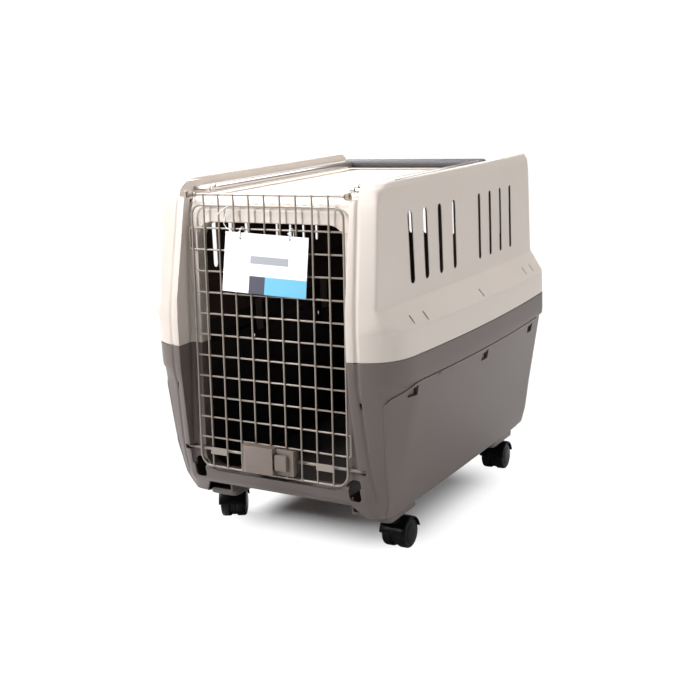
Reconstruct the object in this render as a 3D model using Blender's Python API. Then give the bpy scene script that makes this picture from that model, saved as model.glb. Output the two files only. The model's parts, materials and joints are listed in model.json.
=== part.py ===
"""Pet transport carrier on four twin-wheel casters.

A two-part moulded crate (cream upper shell, taupe lower shell) with a top-hung
wire door, a rack-and-pinion door latch, a swing-over bail handle in the roof
tray and four swivel casters.  Metres, +Z up, the door faces -Y.  The origin is
on the floor under the middle of the overall box, latch included.
"""

import math

import bmesh
import bpy
from mathutils import Vector

for old in list(bpy.data.objects):
    bpy.data.objects.remove(old, do_unlink=True)

# ---------------------------------------------------------- shared dimensions
SIDES = ((-1, "left"), (1, "right"))
ORIGIN_Y = 0.00337     # final shift that centres the overall box on the origin

WALL = 0.0035          # shell wall
GAP = 0.0003           # clearance between neighbouring pieces
SEAM_Z = 0.342         # height of the joint between the shells

# Outline of the crate at each level.  Columns: z; front lip x, y; front corner
# control x, y and its sharpness; start of the side x, y; half width at the
# middle; end of the side x, y; rear y; size of the rear corner.
OUTLINE = (
    (0.0745, 0.150, -0.270, 0.170, -0.266, 1.0, 0.1800, -0.240, 0.1840, 0.1790, 0.262, 0.307, 0.060),
    (0.0820, 0.165, -0.283, 0.186, -0.281, 1.6, 0.1905, -0.250, 0.1925, 0.1885, 0.262, 0.314, 0.055),
    (0.1100, 0.168, -0.300, 0.198, -0.299, 1.4, 0.1975, -0.255, 0.1985, 0.1960, 0.262, 0.318, 0.060),
    (0.1650, 0.165, -0.3105, 0.208, -0.306, 1.3, 0.2070, -0.252, 0.2095, 0.2045, 0.262, 0.3185, 0.070),
    (0.2980, 0.158, -0.3225, 0.228, -0.312, 1.15, 0.2290, -0.238, 0.2375, 0.2275, 0.262, 0.319, 0.075),
    (0.3020, 0.158, -0.3230, 0.232, -0.314, 1.15, 0.2350, -0.236, 0.2440, 0.2335, 0.262, 0.320, 0.075),
    (SEAM_Z, 0.158, -0.3230, 0.234, -0.313, 1.15, 0.2355, -0.234, 0.2444, 0.2335, 0.262, 0.320, 0.075),
    (0.3820, 0.158, -0.3220, 0.232, -0.313, 1.2, 0.2330, -0.240, 0.2425, 0.2325, 0.262, 0.3195, 0.070),
    (0.4190, 0.157, -0.3190, 0.203, -0.307, 5.0, 0.2035, -0.275, 0.2095, 0.2055, 0.272, 0.318, 0.045),
    (0.5680, 0.151, -0.2870, 0.1995, -0.2845, 5.0, 0.2000, -0.258, 0.2090, 0.2045, 0.268, 0.314, 0.042),
    (0.5900, 0.151, -0.2780, 0.197, -0.276, 4.0, 0.1985, -0.250, 0.2085, 0.2035, 0.266, 0.311, 0.042),
    (0.6010, 0.153, -0.2640, 0.188, -0.262, 2.0, 0.1940, -0.238, 0.2050, 0.2000, 0.258, 0.302, 0.045),
)

# The door hangs from a rod across the top; it leans so that its foot is forward.
HINGE_Y, HINGE_Z = -0.2823, 0.583
LATCH_PLANE_Y, LATCH_Z = -0.3065, 0.1655
LEAN = math.atan2(HINGE_Y - LATCH_PLANE_Y, HINGE_Z - LATCH_Z)
LATCH_V = (HINGE_Z - LATCH_Z) / math.cos(LEAN)   # distance down the door
HINGE_ROD_R = 0.0024
ROD_W = -0.0048        # the latch rods lie just behind the wires

# handle pivot, and the side clips that the lower shell has windows for
TUBE_Z, PIVOT_Y = 0.588, -0.240
# name, y, x of the inner face, change of x per unit of y
CLIPS = (
    ("front", -0.246, 0.2135, 0.30),
    ("middle", -0.001, 0.2240, 0.0),
    ("rear", 0.217, 0.2160, -0.17),
)

# name, stem x, stem y, rest heading in degrees
CASTERS = (
    ("fl", -0.163, -0.205, 28.0),
    ("fr", 0.163, -0.205, 0.0),
    ("rl", -0.157, 0.207, -24.0),
    ("rr", 0.157, 0.207, 4.0),
)
PAD_Z = 0.061          # mounting face of the caster pads

# cutters run out to these limits, clear of the crate
REACH_X, REACH_Y = 0.3, 0.4
BELOW, ABOVE = 0.05, 0.7
FRONT_CLEAR = -0.36

# ------------------------------------------------------------------ materials
# name: (base colour, roughness, metallic)
MATERIALS = {
    "cream_plastic": ((0.62, 0.56, 0.51), 0.45, 0.0),
    "taupe_plastic": ((0.19, 0.155, 0.135), 0.45, 0.0),
    "taupe_latch": ((0.24, 0.20, 0.165), 0.40, 0.0),
    "painted_wire": ((0.30, 0.265, 0.225), 0.35, 0.4),
    "grey_grip": ((0.075, 0.072, 0.078), 0.55, 0.0),
    "aluminium_tube": ((0.60, 0.58, 0.56), 0.30, 0.8),
    "black_plastic": ((0.012, 0.012, 0.013), 0.35, 0.0),
    "steel": ((0.55, 0.55, 0.55), 0.30, 1.0),
    "card": ((0.85, 0.87, 0.88), 0.60, 0.0),
}


def material(name):
    found = bpy.data.materials.get(name)
    if found:
        return found
    made = bpy.data.materials.new(name)
    made.use_nodes = True
    shader = made.node_tree.nodes["Principled BSDF"]
    colour, roughness, metallic = MATERIALS[name]
    shader.inputs["Base Color"].default_value = (*colour, 1.0)
    shader.inputs["Roughness"].default_value = roughness
    shader.inputs["Metallic"].default_value = metallic
    return made


# -------------------------------------------------------- objects and Booleans
def new_object(name, bm, mat=None, parent=None, smooth=False):
    # lofted quads are not flat, so they are split before any Boolean sees them
    bmesh.ops.triangulate(bm, faces=bm.faces)
    bmesh.ops.recalc_face_normals(bm, faces=bm.faces)
    mesh = bpy.data.meshes.new(name)
    bm.to_mesh(mesh)
    bm.free()
    obj = bpy.data.objects.new(name, mesh)
    bpy.context.scene.collection.objects.link(obj)
    if mat:
        mesh.materials.append(material(mat))
    if parent:
        obj.parent = parent
    if smooth:
        mesh.shade_smooth()
        mesh.set_sharp_from_angle(angle=math.radians(40))
    return obj


def new_axis(name, location, rotation=(0, 0, 0)):
    """An empty that moving parts are parented to."""
    empty = bpy.data.objects.new(name, None)
    bpy.context.scene.collection.objects.link(empty)
    empty.location = location
    empty.rotation_euler = rotation
    return empty


def helper(bm):
    """A cutter or a piece to be joined; it is removed once it is used."""
    obj = new_object("helper", bm)
    obj.hide_render = True
    obj.display_type = "WIRE"
    return obj


def boolean(target, other, operation):
    # both meshes are drawn in the target's own directions
    other.parent = target.parent
    other.location = target.location
    other.rotation_euler = target.rotation_euler
    modifier = target.modifiers.new("cut", "BOOLEAN")
    modifier.operation = operation
    modifier.solver = "EXACT"
    modifier.object = other
    bpy.context.view_layer.update()
    graph = bpy.context.evaluated_depsgraph_get()
    result = bpy.data.meshes.new_from_object(target.evaluated_get(graph))
    target.modifiers.clear()
    materials = list(target.data.materials)
    target.data = result
    result.materials.clear()
    for item in materials:
        result.materials.append(item)
    bpy.data.objects.remove(other, do_unlink=True)


def cut(target, *bms):
    for bm in bms:
        boolean(target, helper(bm), "DIFFERENCE")


def join(target, *bms):
    for bm in bms:
        boolean(target, helper(bm), "UNION")


# --------------------------------------------------------------------- solids
def span(side, near, far):
    """Range of x on one side, in rising order, from distances to the middle."""
    return sorted((side * near, side * far))


def boxes(*items):
    """One mesh of boxes, each given as x0, x1, y0, y1, z0, z1."""
    bm = bmesh.new()
    for x0, x1, y0, y1, z0, z1 in items:
        corners = [bm.verts.new((x, y, z)) for x in (x0, x1) for y in (y0, y1) for z in (z0, z1)]
        for face in (
            (0, 1, 3, 2), (4, 6, 7, 5), (0, 4, 5, 1), (2, 3, 7, 6), (0, 2, 6, 4), (1, 5, 7, 3),
        ):
            bm.faces.new([corners[i] for i in face])
    return bm


def slab(half, low, high):
    """Box of a given half width that runs past the front and the rear."""
    return boxes((-half, half, -REACH_Y, REACH_Y, low, high))


def add_loft(bm, rings):
    """Closed solid through rings that all have the same number of points."""
    rows = [[bm.verts.new(p) for p in ring] for ring in rings]
    count = len(rows[0])
    for low, high in zip(rows, rows[1:]):
        for i in range(count):
            j = (i + 1) % count
            bm.faces.new((low[i], low[j], high[j], high[i]))
    bm.faces.new(rows[0][::-1])
    bm.faces.new(rows[-1])
    return bm


def loft(rings):
    return add_loft(bmesh.new(), rings)


def circle(centre, normal, radius, steps):
    normal = Vector(normal).normalized()
    if abs(normal.z) > 0.9:
        side = normal.orthogonal().normalized()
    else:
        side = normal.cross(Vector((0, 0, 1))).normalized()
    other = normal.cross(side)
    return [
        Vector(centre) + radius * (math.cos(a) * side + math.sin(a) * other)
        for a in (2 * math.pi * k / steps for k in range(steps))
    ]


def rod(start, end, radius, steps=12):
    axis = Vector(end) - Vector(start)
    return loft([circle(start, axis, radius, steps), circle(end, axis, radius, steps)])


def rod_pair(near, far, y, z, radius, steps):
    """Two rods along X, one on each side."""
    return [
        rod((x0, y, z), (x1, y, z), radius, steps)
        for x0, x1 in (span(side, near, far) for side, _ in SIDES)
    ]


def turned(profile, steps, y=0.0):
    """Solid turned about a line along X, from (x, radius) pairs."""
    return loft([circle((x, y, 0), (1, 0, 0), radius, steps) for x, radius in profile])


def prism_x(points, low, high):
    """Prism along X over a polygon of (y, z) points."""
    return loft([[(x, y, z) for y, z in points] for x in (low, high)])


def ring_solid(outer, inner, y_from, y_to):
    """Flat ring between two loops of (x, z) points."""
    bm = bmesh.new()
    rows = [
        [bm.verts.new((x, y, z)) for x, z in loop] for loop in (outer, inner) for y in (y_from, y_to)
    ]
    count = len(outer)
    for i in range(count):
        j = (i + 1) % count
        for a, b in ((0, 1), (1, 3), (3, 2), (2, 0)):
            bm.faces.new((rows[a][i], rows[a][j], rows[b][j], rows[b][i]))
    return bm


def rounded_rectangle(half_width, low, high, radius_low, radius_high, steps):
    """Points (x, z) of a rectangle symmetric in x, with its corners rounded."""
    points = []
    for corner_x, corner_z, radius, start in (
        (half_width, high, radius_high, 0),
        (-half_width, high, radius_high, 90),
        (-half_width, low, radius_low, 180),
        (half_width, low, radius_low, 270),
    ):
        centre_x = corner_x - math.copysign(radius, corner_x)
        centre_z = corner_z - radius if corner_z == high else corner_z + radius
        for k in range(steps + 1):
            a = math.radians(start + 90 * k / steps)
            points.append((centre_x + radius * math.cos(a), centre_z + radius * math.sin(a)))
    return points


# -------------------------------------------------------------- crate outline
def interpolate(rows, z):
    """Row of a table at height z; the first column holds the heights."""
    if z <= rows[0][0]:
        return rows[0]
    for low, high in zip(rows, rows[1:]):
        if z <= high[0]:
            t = (z - low[0]) / (high[0] - low[0])
            return tuple(a + t * (b - a) for a, b in zip(low, high))
    return rows[-1]


def bezier(start, control, end, t, weight=1.0):
    """Rational curve; a larger weight pulls it into the control corner."""
    ws, wc, we = (1 - t) ** 2, 2 * t * (1 - t) * weight, t * t
    return tuple(
        (ws * p + wc * q + we * r) / (ws + wc + we) for p, q, r in zip(start, control, end)
    )


def half_outline(z):
    """Right half of the outline, from the front lip round to the rear."""
    (_, lip_x, lip_y, corner_x, corner_y, sharpness, start_x, start_y,
     middle_x, end_x, end_y, rear_y, rear_corner) = interpolate(OUTLINE, z)
    lip, corner, start = (lip_x, lip_y), (corner_x, corner_y), (start_x, start_y)
    points = [lip]
    points += [bezier(lip, corner, start, t, sharpness) for t in (0.2, 0.4, 0.6, 0.8)]
    points.append(start)
    for k in range(1, 6):
        t = k / 6
        straight = start_x + t * (end_x - start_x)
        bow = (middle_x - (start_x + end_x) / 2) * (1 - (2 * t - 1) ** 2)
        points.append((straight + bow, start_y + t * (end_y - start_y)))
    side_end, rear = (end_x, end_y), (end_x - rear_corner, rear_y)
    points.append(side_end)
    points += [bezier(side_end, (end_x, rear_y), rear, t) for t in (0.25, 0.5, 0.75)]
    points.append(rear)
    return points


def shrink(points, by):
    """Moves every point of a counter-clockwise loop inwards."""
    moved = []
    count = len(points)
    for i in range(count):
        before, here, after = (Vector(points[(i + k) % count]) for k in (-1, 0, 1))
        edge_in, edge_out = here - before, after - here
        normal_in = Vector((edge_in.y, -edge_in.x)).normalized()
        normal_out = Vector((edge_out.y, -edge_out.x)).normalized()
        middle = (normal_in + normal_out).normalized()
        moved.append(here - middle * by / max(0.6, middle.dot(normal_in)))
    return moved


def outline_ring(z, inset=0.0, height=None):
    """Outline of level z, moved inwards, and placed at another height if given."""
    half = half_outline(z)
    loop = half + [(-x, y) for x, y in reversed(half)]
    if inset:
        loop = shrink(loop, inset)
    place = z if height is None else height
    return [(p[0], p[1], place) for p in loop]


# --------------------------------------------------- front recess and opening
RECESS_BACK = 0.0085   # the front wall stands this far behind the door's plane
RECESS_LOW = 0.1365
# z, half width of the recess between the two wings
RECESS = (
    (0.0745, 0.1665), (0.165, 0.162), (0.298, 0.158),
    (0.419, 0.157), (0.568, 0.1535), (0.620, 0.1535),
)
OPENING_HALF, OPENING_LOW, OPENING_HIGH, OPENING_R = 0.137, 0.130, 0.538, 0.028
JAMB = 0.022           # the jamb ends this far behind the front wall's face
OVERRUN = 0.02         # the opening's cutter passes the jamb by this much


def door_plane(z):
    return HINGE_Y - (HINGE_Z - z) * math.tan(LEAN)


def recess(grow, low):
    rings = []
    for z in (low, *[row[0] for row in RECESS[1:]]):
        half, back = interpolate(RECESS, z)[1] + grow, door_plane(z) + RECESS_BACK + grow
        front = FRONT_CLEAR
        rings.append([(-half, front, z), (half, front, z), (half, back, z), (-half, back, z)])
    return loft(rings)


def opening(grow, back_from, back_to):
    """Door opening, sheared to follow the door's lean."""
    radius = OPENING_R + grow
    loop = rounded_rectangle(
        OPENING_HALF + grow, OPENING_LOW - grow, OPENING_HIGH + grow, radius, radius, steps=4
    )
    return loft([[(x, door_plane(z) + y, z) for x, z in loop] for y in (back_from, back_to)])


def cut_opening(body):
    cut(body, opening(0.0, -OVERRUN, RECESS_BACK + JAMB + OVERRUN))


def shell(name, mat, levels, cavity, block, low, high):
    """Outside minus inside, then the recess wall and the jamb, still uncut.

    cavity rows are (outline level, inset, height); block is kept out of the
    cavity; low and high bound the jamb.
    """
    body = new_object(name, loft([outline_ring(z) for z in levels]), mat)
    inside = helper(loft([outline_ring(*row) for row in cavity]))
    cut(inside, block)
    boolean(body, inside, "DIFFERENCE")
    wall = helper(recess(WALL, RECESS_LOW - WALL))
    boolean(wall, helper(loft([outline_ring(z, 0.00002) for z in levels])), "INTERSECT")
    boolean(body, wall, "UNION")
    jamb = helper(opening(WALL, RECESS_BACK + 0.0005, RECESS_BACK + JAMB))
    boolean(jamb, helper(slab(REACH_X, low, high)), "INTERSECT")
    boolean(body, jamb, "UNION")
    return body


# ---------------------------------------------------------------- upper shell
ROOF_Z = 0.577         # top of the roof, between the two side wings
TRAY_HALF = 0.166      # half width of the roof tray
# step between the tray and the top of each wing
SHOULDER_HALF, SHOULDER_FRONT, SHOULDER_Z = 0.1955, -0.225, 0.588
# two groups of four upright slits on each side: y, width
SIDE_VENTS = (
    (-0.194, 0.0140), (-0.1475, 0.0135), (-0.099, 0.0130), (-0.050, 0.0120),
    (0.048, 0.0100), (0.093, 0.0100), (0.138, 0.0100), (0.184, 0.0100),
)
SIDE_VENT_REACH = 0.27
REAR_VENT_X = (0.030, 0.062, 0.094, 0.126)
REAR_VENT_HALF = 0.0050
REAR_VENT_Y = (0.26, 0.36)
VENT_Z = (0.4405, 0.5525)


def build_upper_shell():
    cavity = (
        (SEAM_Z, WALL, SEAM_Z - 0.001),
        (0.380, WALL, 0.380),
        (0.417, WALL, 0.417),
        (0.568, WALL, 0.568),
        (0.580, WALL, SHOULDER_Z - WALL),
    )
    body = shell(
        "upper_shell",
        "cream_plastic",
        [row[0] for row in OUTLINE if row[0] >= SEAM_Z],
        cavity,
        slab(TRAY_HALF + WALL, ROOF_Z - WALL, ABOVE),
        SEAM_Z,
        ABOVE,
    )
    cut(body, slab(TRAY_HALF, ROOF_Z, ABOVE))
    cut(body, boxes((-SHOULDER_HALF, SHOULDER_HALF, SHOULDER_FRONT, REACH_Y, SHOULDER_Z, ABOVE)))
    cut(body, recess(0.0, 0.13))
    cut_opening(body)
    side_vents = [
        (-SIDE_VENT_REACH, SIDE_VENT_REACH, y - width / 2, y + width / 2, *VENT_Z)
        for y, width in SIDE_VENTS
    ]
    rear_vents = [
        (side * x - REAR_VENT_HALF, side * x + REAR_VENT_HALF, *REAR_VENT_Y, *VENT_Z)
        for x in REAR_VENT_X
        for side, _ in SIDES
    ]
    cut(body, boxes(*side_vents), boxes(*rear_vents))
    # seats for the handle's pivot pins in the inner faces of the wings
    cut(body, *rod_pair(0.160, 0.1735, PIVOT_Y, TUBE_Z, radius=0.0034, steps=10))
    # blind seats for the tips of the hinge rod
    cut(body, *rod_pair(0.150, 0.1580, HINGE_Y, HINGE_Z, radius=HINGE_ROD_R + 0.0008, steps=12))


# ---------------------------------------------------------------- lower shell
LOWER_TOP = SEAM_Z - GAP
FLOOR_TOP = 0.108      # cabin floor
FLOOR_BOTTOM = 0.104   # underside of the raised floor
FLOOR_HALF = 0.118     # half width of the raised floor
# caster pads: range of x, reach towards the crate's near end and inwards
PAD_X = (0.1225, 0.1800)
PAD_TO_END, PAD_INWARDS, PAD_TOP = 0.042, 0.050, 0.0805
BOSS_R, BOSS_Z = 0.0125, (0.0700, 0.0950)
SOCKET_HOLE_R, SOCKET_HOLE_Z = 0.0078, (0.0500, 0.0905)
# flared channel below the front edge: half width and z, at its top and bottom
CHANNEL_TOP = (0.138, FLOOR_BOTTOM + 0.0005)
CHANNEL_FOOT = (0.172, 0.060)
CHANNEL_Y = (-0.40, -0.262)
POCKET_X, POCKET_BACK, POCKET_LOW = (0.1385, 0.1600), -0.2925, 0.1130
KEEPER_X, KEEPER_HALF = (0.155, 0.1735), 0.0042
WINDOW_X, WINDOW_HALF_Y, WINDOW_Z = (0.20, 0.26), 0.0125, (0.2770, 0.2925)


def join_caster_pad(body, x, y):
    if y < 0:
        front, back = y - PAD_TO_END, y + PAD_INWARDS
    else:
        front, back = y - PAD_INWARDS, y + PAD_TO_END
    pad = boxes((*span(math.copysign(1, x), *PAD_X), front, back, PAD_Z, PAD_TOP))
    join(body, pad, rod((x, y, BOSS_Z[0]), (x, y, BOSS_Z[1]), BOSS_R, 14))


def build_lower_shell():
    cavity = (
        (0.082, WALL + 0.002, 0.0790),
        (0.110, WALL, 0.110),
        (0.165, WALL, 0.165),
        (0.298, WALL, 0.298),
        (0.298, WALL, 0.304),
        (0.302, WALL, 0.309),
        (0.342, WALL, 0.344),
    )
    body = shell(
        "lower_shell",
        "taupe_plastic",
        [row[0] for row in OUTLINE if row[0] < SEAM_Z] + [LOWER_TOP],
        cavity,
        slab(FLOOR_HALF + WALL, BELOW, FLOOR_TOP),
        BELOW,
        LOWER_TOP,
    )
    for _, x, y, _ in CASTERS:
        join_caster_pad(body, x, y)
    cut(body, slab(FLOOR_HALF, BELOW, FLOOR_BOTTOM))
    (top_x, top_z), (foot_x, foot_z) = CHANNEL_TOP, CHANNEL_FOOT
    channel = ((-top_x, top_z), (top_x, top_z), (foot_x, foot_z), (-foot_x, foot_z))
    cut(body, loft([[(x, y, z) for x, z in channel] for y in CHANNEL_Y]))
    cut(body, recess(0.0, RECESS_LOW))
    # pockets between the ends of the sill and the wings
    for side, _ in SIDES:
        pocket_x = span(side, *POCKET_X)
        cut(body, boxes((*pocket_x, FRONT_CLEAR, POCKET_BACK, POCKET_LOW, RECESS_LOW + 0.002)))
    cut_opening(body)
    # keepers: slots that the latch rods slide into, open to the front
    keeper_back = door_plane(LATCH_Z) - ROD_W + 0.0045
    keeper_z = (LATCH_Z - KEEPER_HALF, LATCH_Z + KEEPER_HALF)
    keepers = [
        (*span(side, *KEEPER_X), FRONT_CLEAR, keeper_back, *keeper_z) for side, _ in SIDES
    ]
    cut(body, boxes(*keepers))
    low, high = SOCKET_HOLE_Z
    for _, x, y, _ in CASTERS:
        cut(body, rod((x, y, low), (x, y, high), SOCKET_HOLE_R, 14))
    windows = [
        (*span(side, *WINDOW_X), y - WINDOW_HALF_Y, y + WINDOW_HALF_Y, *WINDOW_Z)
        for _, y, _, _ in CLIPS
        for side, _ in SIDES
    ]
    cut(body, boxes(*windows))


# ----------------------------------------------------------------- side clips
CLIP_THICKNESS, CLIP_HALF_Y, CLIP_Z = 0.0030, 0.009, (0.270, 0.356)
NOSE_DEPTH, NOSE_HALF_Y, NOSE_Z = 0.0045, 0.0085, (0.2790, 0.2890)


def clip_block(side, y, skew, inner, outer, half_y, levels):
    """Block whose faces slant with the wall: skew is the change of x per y."""
    ring = ((inner, -half_y), (outer, -half_y), (outer, half_y), (inner, half_y))
    return loft([[(side * (x + skew * dy), y + dy, z) for x, dy in ring] for z in levels])


def build_side_clips():
    for side, word in SIDES:
        for place, y, inner, skew in CLIPS:
            outer = inner + CLIP_THICKNESS
            plate = clip_block(side, y, skew, inner, outer, CLIP_HALF_Y, CLIP_Z)
            clip = new_object("side_clip_%s_%s" % (word, place), plate, "taupe_plastic")
            nose_x = (inner + 0.001, outer + NOSE_DEPTH)
            join(clip, clip_block(side, y, skew, *nose_x, NOSE_HALF_Y, NOSE_Z))


# ------------------------------------------------------------ door directions
# On the door, w is outwards from its plane and v is down from the hinge rod.
def door_point(x, w, v):
    return (x, -w, -v)


def door_boxes(*items):
    """Boxes given as x0, x1, w0, w1, v0, v1."""
    return boxes(*[(x0, x1, -w1, -w0, -v1, -v0) for x0, x1, w0, w1, v0, v1 in items])


# ----------------------------------------------------------- hinge and grille
HINGE_ROD_HALF = 0.1550
BUSH_X = (0.1478, 0.1532)
BUSH_HALF, BUSH_DROP = 0.0050, 0.0058
DOOR_HALF = 0.141      # centre line of the door frame
DOOR_TOP_V, DOOR_FOOT_V = 0.0170, 0.4455
FRAME_WIRE = 0.0036
FRAME_FOOT_R, FRAME_TOP_R = 0.0207, 0.0167   # corner radii of the centre line
WIRE = 0.0030          # mesh wire
UPRIGHT_PITCH, UPRIGHTS = 0.0290, 9
RUNG_PITCH, RUNGS = 0.0344, 11
FIRST_RUNG_V = 0.0530
LOOP_HALF = 0.1472     # side loops that stop the door from being pushed in
# range of w of the wires; they overlap where they cross
UPRIGHT_W = (-0.0002, 0.0028)
RUNG_W = (-0.0029, 0.0001)
LINK_W = (-0.0028, 0.0)


def build_hinge(door_axis):
    hinge_rod = rod((-HINGE_ROD_HALF, 0, 0), (HINGE_ROD_HALF, 0, 0), HINGE_ROD_R)
    new_object("hinge_rod", hinge_rod, "painted_wire", door_axis, smooth=True)
    # bushes, fixed to the inner faces of the wings
    bush_y = (HINGE_Y - BUSH_HALF, HINGE_Y + BUSH_HALF)
    bush_z = (HINGE_Z - BUSH_DROP, HINGE_Z + BUSH_HALF)
    for side, word in SIDES:
        block = boxes((*span(side, *BUSH_X), *bush_y, *bush_z))
        bush = new_object("hinge_bush_" + word, block, "taupe_latch")
        inner, outer = ((side * x, HINGE_Y, HINGE_Z) for x in (0.140, 0.160))
        cut(bush, rod(inner, outer, HINGE_ROD_R + GAP))


def frame_loop(offset):
    """Loop of the door frame, moved outwards from the wire's centre line."""
    return rounded_rectangle(
        DOOR_HALF + offset,
        -DOOR_FOOT_V - offset,
        -DOOR_TOP_V + offset,
        FRAME_FOOT_R + offset,
        FRAME_TOP_R + offset,
        steps=3,
    )


def build_grille(door_axis):
    half_frame, half_wire = FRAME_WIRE / 2, WIRE / 2
    frame = ring_solid(frame_loop(half_frame), frame_loop(-half_frame), -half_frame, half_frame)
    door = new_object("door_grille", frame, "painted_wire", door_axis)
    uprights = []
    for k in range(UPRIGHTS):
        x = (k - (UPRIGHTS - 1) / 2) * UPRIGHT_PITCH
        upright_v = (HINGE_ROD_R + GAP, DOOR_FOOT_V + 0.0010)
        uprights.append((x - half_wire, x + half_wire, *UPRIGHT_W, *upright_v))
    # two rungs run on into a loop at the top left, and two at the foot right
    loop_outer, loop_inner = LOOP_HALF + half_wire, LOOP_HALF - half_wire
    rung_v = [FIRST_RUNG_V + RUNG_PITCH * k for k in range(RUNGS)]
    rungs = []
    for k, v in enumerate(rung_v):
        left = -loop_outer if k < 2 else -DOOR_HALF
        right = loop_outer if k >= RUNGS - 2 else DOOR_HALF
        rungs.append((left, right, *RUNG_W, v - half_wire, v + half_wire))
    links = (
        (-loop_outer + 0.0001, -loop_inner, *LINK_W, rung_v[0], rung_v[1]),
        (loop_inner, loop_outer - 0.0001, *LINK_W, rung_v[-2], rung_v[-1]),
    )
    join(door, door_boxes(*uprights), door_boxes(*rungs), door_boxes(*links))


# --------------------------------------------------------------- latch casing
# Latch boxes are x0, x1, w0, w1, v0, v1, with v from the latch's centre line.
LID_W = 0.0035         # back edge of the cover
COVER_TALL = (-0.0490, 0.0050, LID_W, 0.0190, -0.0220, 0.0220)
COVER_SHALLOW = (0.0030, 0.0470, LID_W, 0.0105, -0.0200, 0.0210)
# hollow of the tall half: (x, w) profile and half height
TALL_HOLLOW = (
    (-0.0472, 0.0), (0.0032, 0.0), (0.0032, 0.0172), (-0.0378, 0.0172), (-0.0472, 0.0110),
)
TALL_HOLLOW_HALF = 0.0202
COVER_CUTS = (
    (0.0020, 0.0452, 0.0, 0.0087, -0.0182, 0.0192),      # hollow of the shallow half
    (0.0015, 0.0065, 0.0098, 0.0169, -0.0130, 0.0130),   # doorway beside the slider
    (0.0011, 0.0235, 0.0010, 0.0117, -0.0045, 0.0045),   # slot for the slider's stem
)
# chamfer on the left end of the cover: (x, w) profile and half height
CHAMFER = ((-0.052, 0.0215), (-0.0385, 0.0195), (-0.052, 0.0105))
CHAMFER_HALF = 0.03
SPRING_SEAT = (-0.0125, -0.0102, 0.0036, 0.0180, -0.0040, 0.0040)
# name, x, w of the top of the boss, w of the screw's tip
SCREWS = (("left", -0.0370, 0.0178, 0.0100), ("right", 0.0385, 0.0095, 0.0072))
SCREW_V = 0.0135
BOSS_RADIUS, BOSS_BORE_R, SCREW_HOLE_R = 0.0032, 0.0018, 0.0019
SCREW_HEAD_R, SCREW_SHANK_R = 0.0032, 0.0015
BACK_PLATE = (-0.0470, 0.0450, -0.0115, -0.0033, -0.0195, 0.0195)
BACK_HOLLOW = (-0.0455, 0.0435, -0.0100, 0.0, -0.0180, 0.0180)
BACK_ROD_SLOT = (-0.06, 0.06, -0.0082, 0.0, -0.0032, 0.0032)
GUIDE_X, GUIDE_W, GUIDE_HALF = (0.0860, 0.1185), (0.0031, 0.0043), 0.0058


def latch_box(x0, x1, w0, w1, v0, v1):
    return door_boxes((x0, x1, w0, w1, LATCH_V + v0, LATCH_V + v1))


def latch_prism(profile, v0, v1):
    """Prism along v over a polygon of (x, w) points."""
    return loft([[door_point(x, w, LATCH_V + v) for x, w in profile] for v in (v0, v1)])


def screw_rod(x, w_from, w_to, radius):
    v = LATCH_V + SCREW_V
    return rod(door_point(x, w_from, v), door_point(x, w_to, v), radius, 10)


def build_latch_casing(door_axis):
    cover = new_object("latch_cover", latch_box(*COVER_TALL), "taupe_latch", door_axis)
    join(cover, latch_box(*COVER_SHALLOW))
    cut(cover, latch_prism(TALL_HOLLOW, -TALL_HOLLOW_HALF, TALL_HOLLOW_HALF))
    cut(cover, *[latch_box(*extents) for extents in COVER_CUTS])
    cut(cover, latch_prism(CHAMFER, CHAMFER_HALF, -CHAMFER_HALF))
    for _, x, top, _ in SCREWS:
        join(cover, screw_rod(x, LID_W + 0.0004, top, BOSS_RADIUS))
        cut(cover, screw_rod(x, 0.0, top - 0.0016, BOSS_BORE_R))
    join(cover, latch_box(*SPRING_SEAT))

    back = new_object("latch_back_plate", latch_box(*BACK_PLATE), "taupe_latch", door_axis)
    cut(back, latch_box(*BACK_HOLLOW), latch_box(*BACK_ROD_SLOT))
    for _, x, _, _ in SCREWS:
        cut(back, screw_rod(x, 0.0, -0.02, SCREW_HOLE_R))

    for word, x, _, tip in SCREWS:
        head = screw_rod(x, -0.0118, -0.0140, SCREW_HEAD_R)
        screw = new_object("latch_screw_" + word, head, "steel", door_axis, smooth=True)
        join(screw, screw_rod(x, -0.0130, tip, SCREW_SHANK_R))

    for side, word in SIDES:
        guide = latch_box(*span(side, *GUIDE_X), *GUIDE_W, -GUIDE_HALF, GUIDE_HALF)
        new_object("rod_guide_" + word, guide, "painted_wire", door_axis)


# ------------------------------------------------------------- latch movement
ROD_R, ROD_END = 0.0025, 0.1710
GEAR_R, GEAR_TEETH, GEAR_X = 0.006, 12, -0.0145
GEAR_BORE_R, GEAR_PIN_R = 0.0016, 0.0015
# one gear tooth: angle from its middle, radius
GEAR_TOOTH = (
    (-0.150, GEAR_R - 0.0011), (-0.050, GEAR_R + 0.0007),
    (0.050, GEAR_R + 0.0007), (0.150, GEAR_R - 0.0011),
)
RACK_FACE = GEAR_R + 0.0011        # root line of the racks, from the gear's centre
RACK_BACK = GEAR_R + 0.0036
RACK_W = (-0.0072, -0.0034)
INSET = 0.0001                     # keeps faces of joined pieces from coinciding
BAR_W = (RACK_W[0] + INSET, RACK_W[1] - INSET)
RACK_PITCH = 2 * math.pi * GEAR_R / GEAR_TEETH
TOOTH_ROOT_HALF, TOOTH_TIP_HALF = 0.00062, 0.00028
SLIDER_PAD = (0.0095, 0.0315, 0.0108, 0.0165, -0.0125, 0.0125)
SLIDER_STEM = (0.0145, 0.0225, -0.0030, 0.0110, -0.0040, 0.0040)
SLIDER_FOOT = (0.0146, 0.0224, -0.0031, -0.0004, -0.0038, RACK_BACK - 0.0004)
SPRING_TURNS, SPRING_STEPS, SPRING_SIDES = 6, 9, 5
SPRING_R, SPRING_WIRE_R = 0.0022, 0.00035
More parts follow.
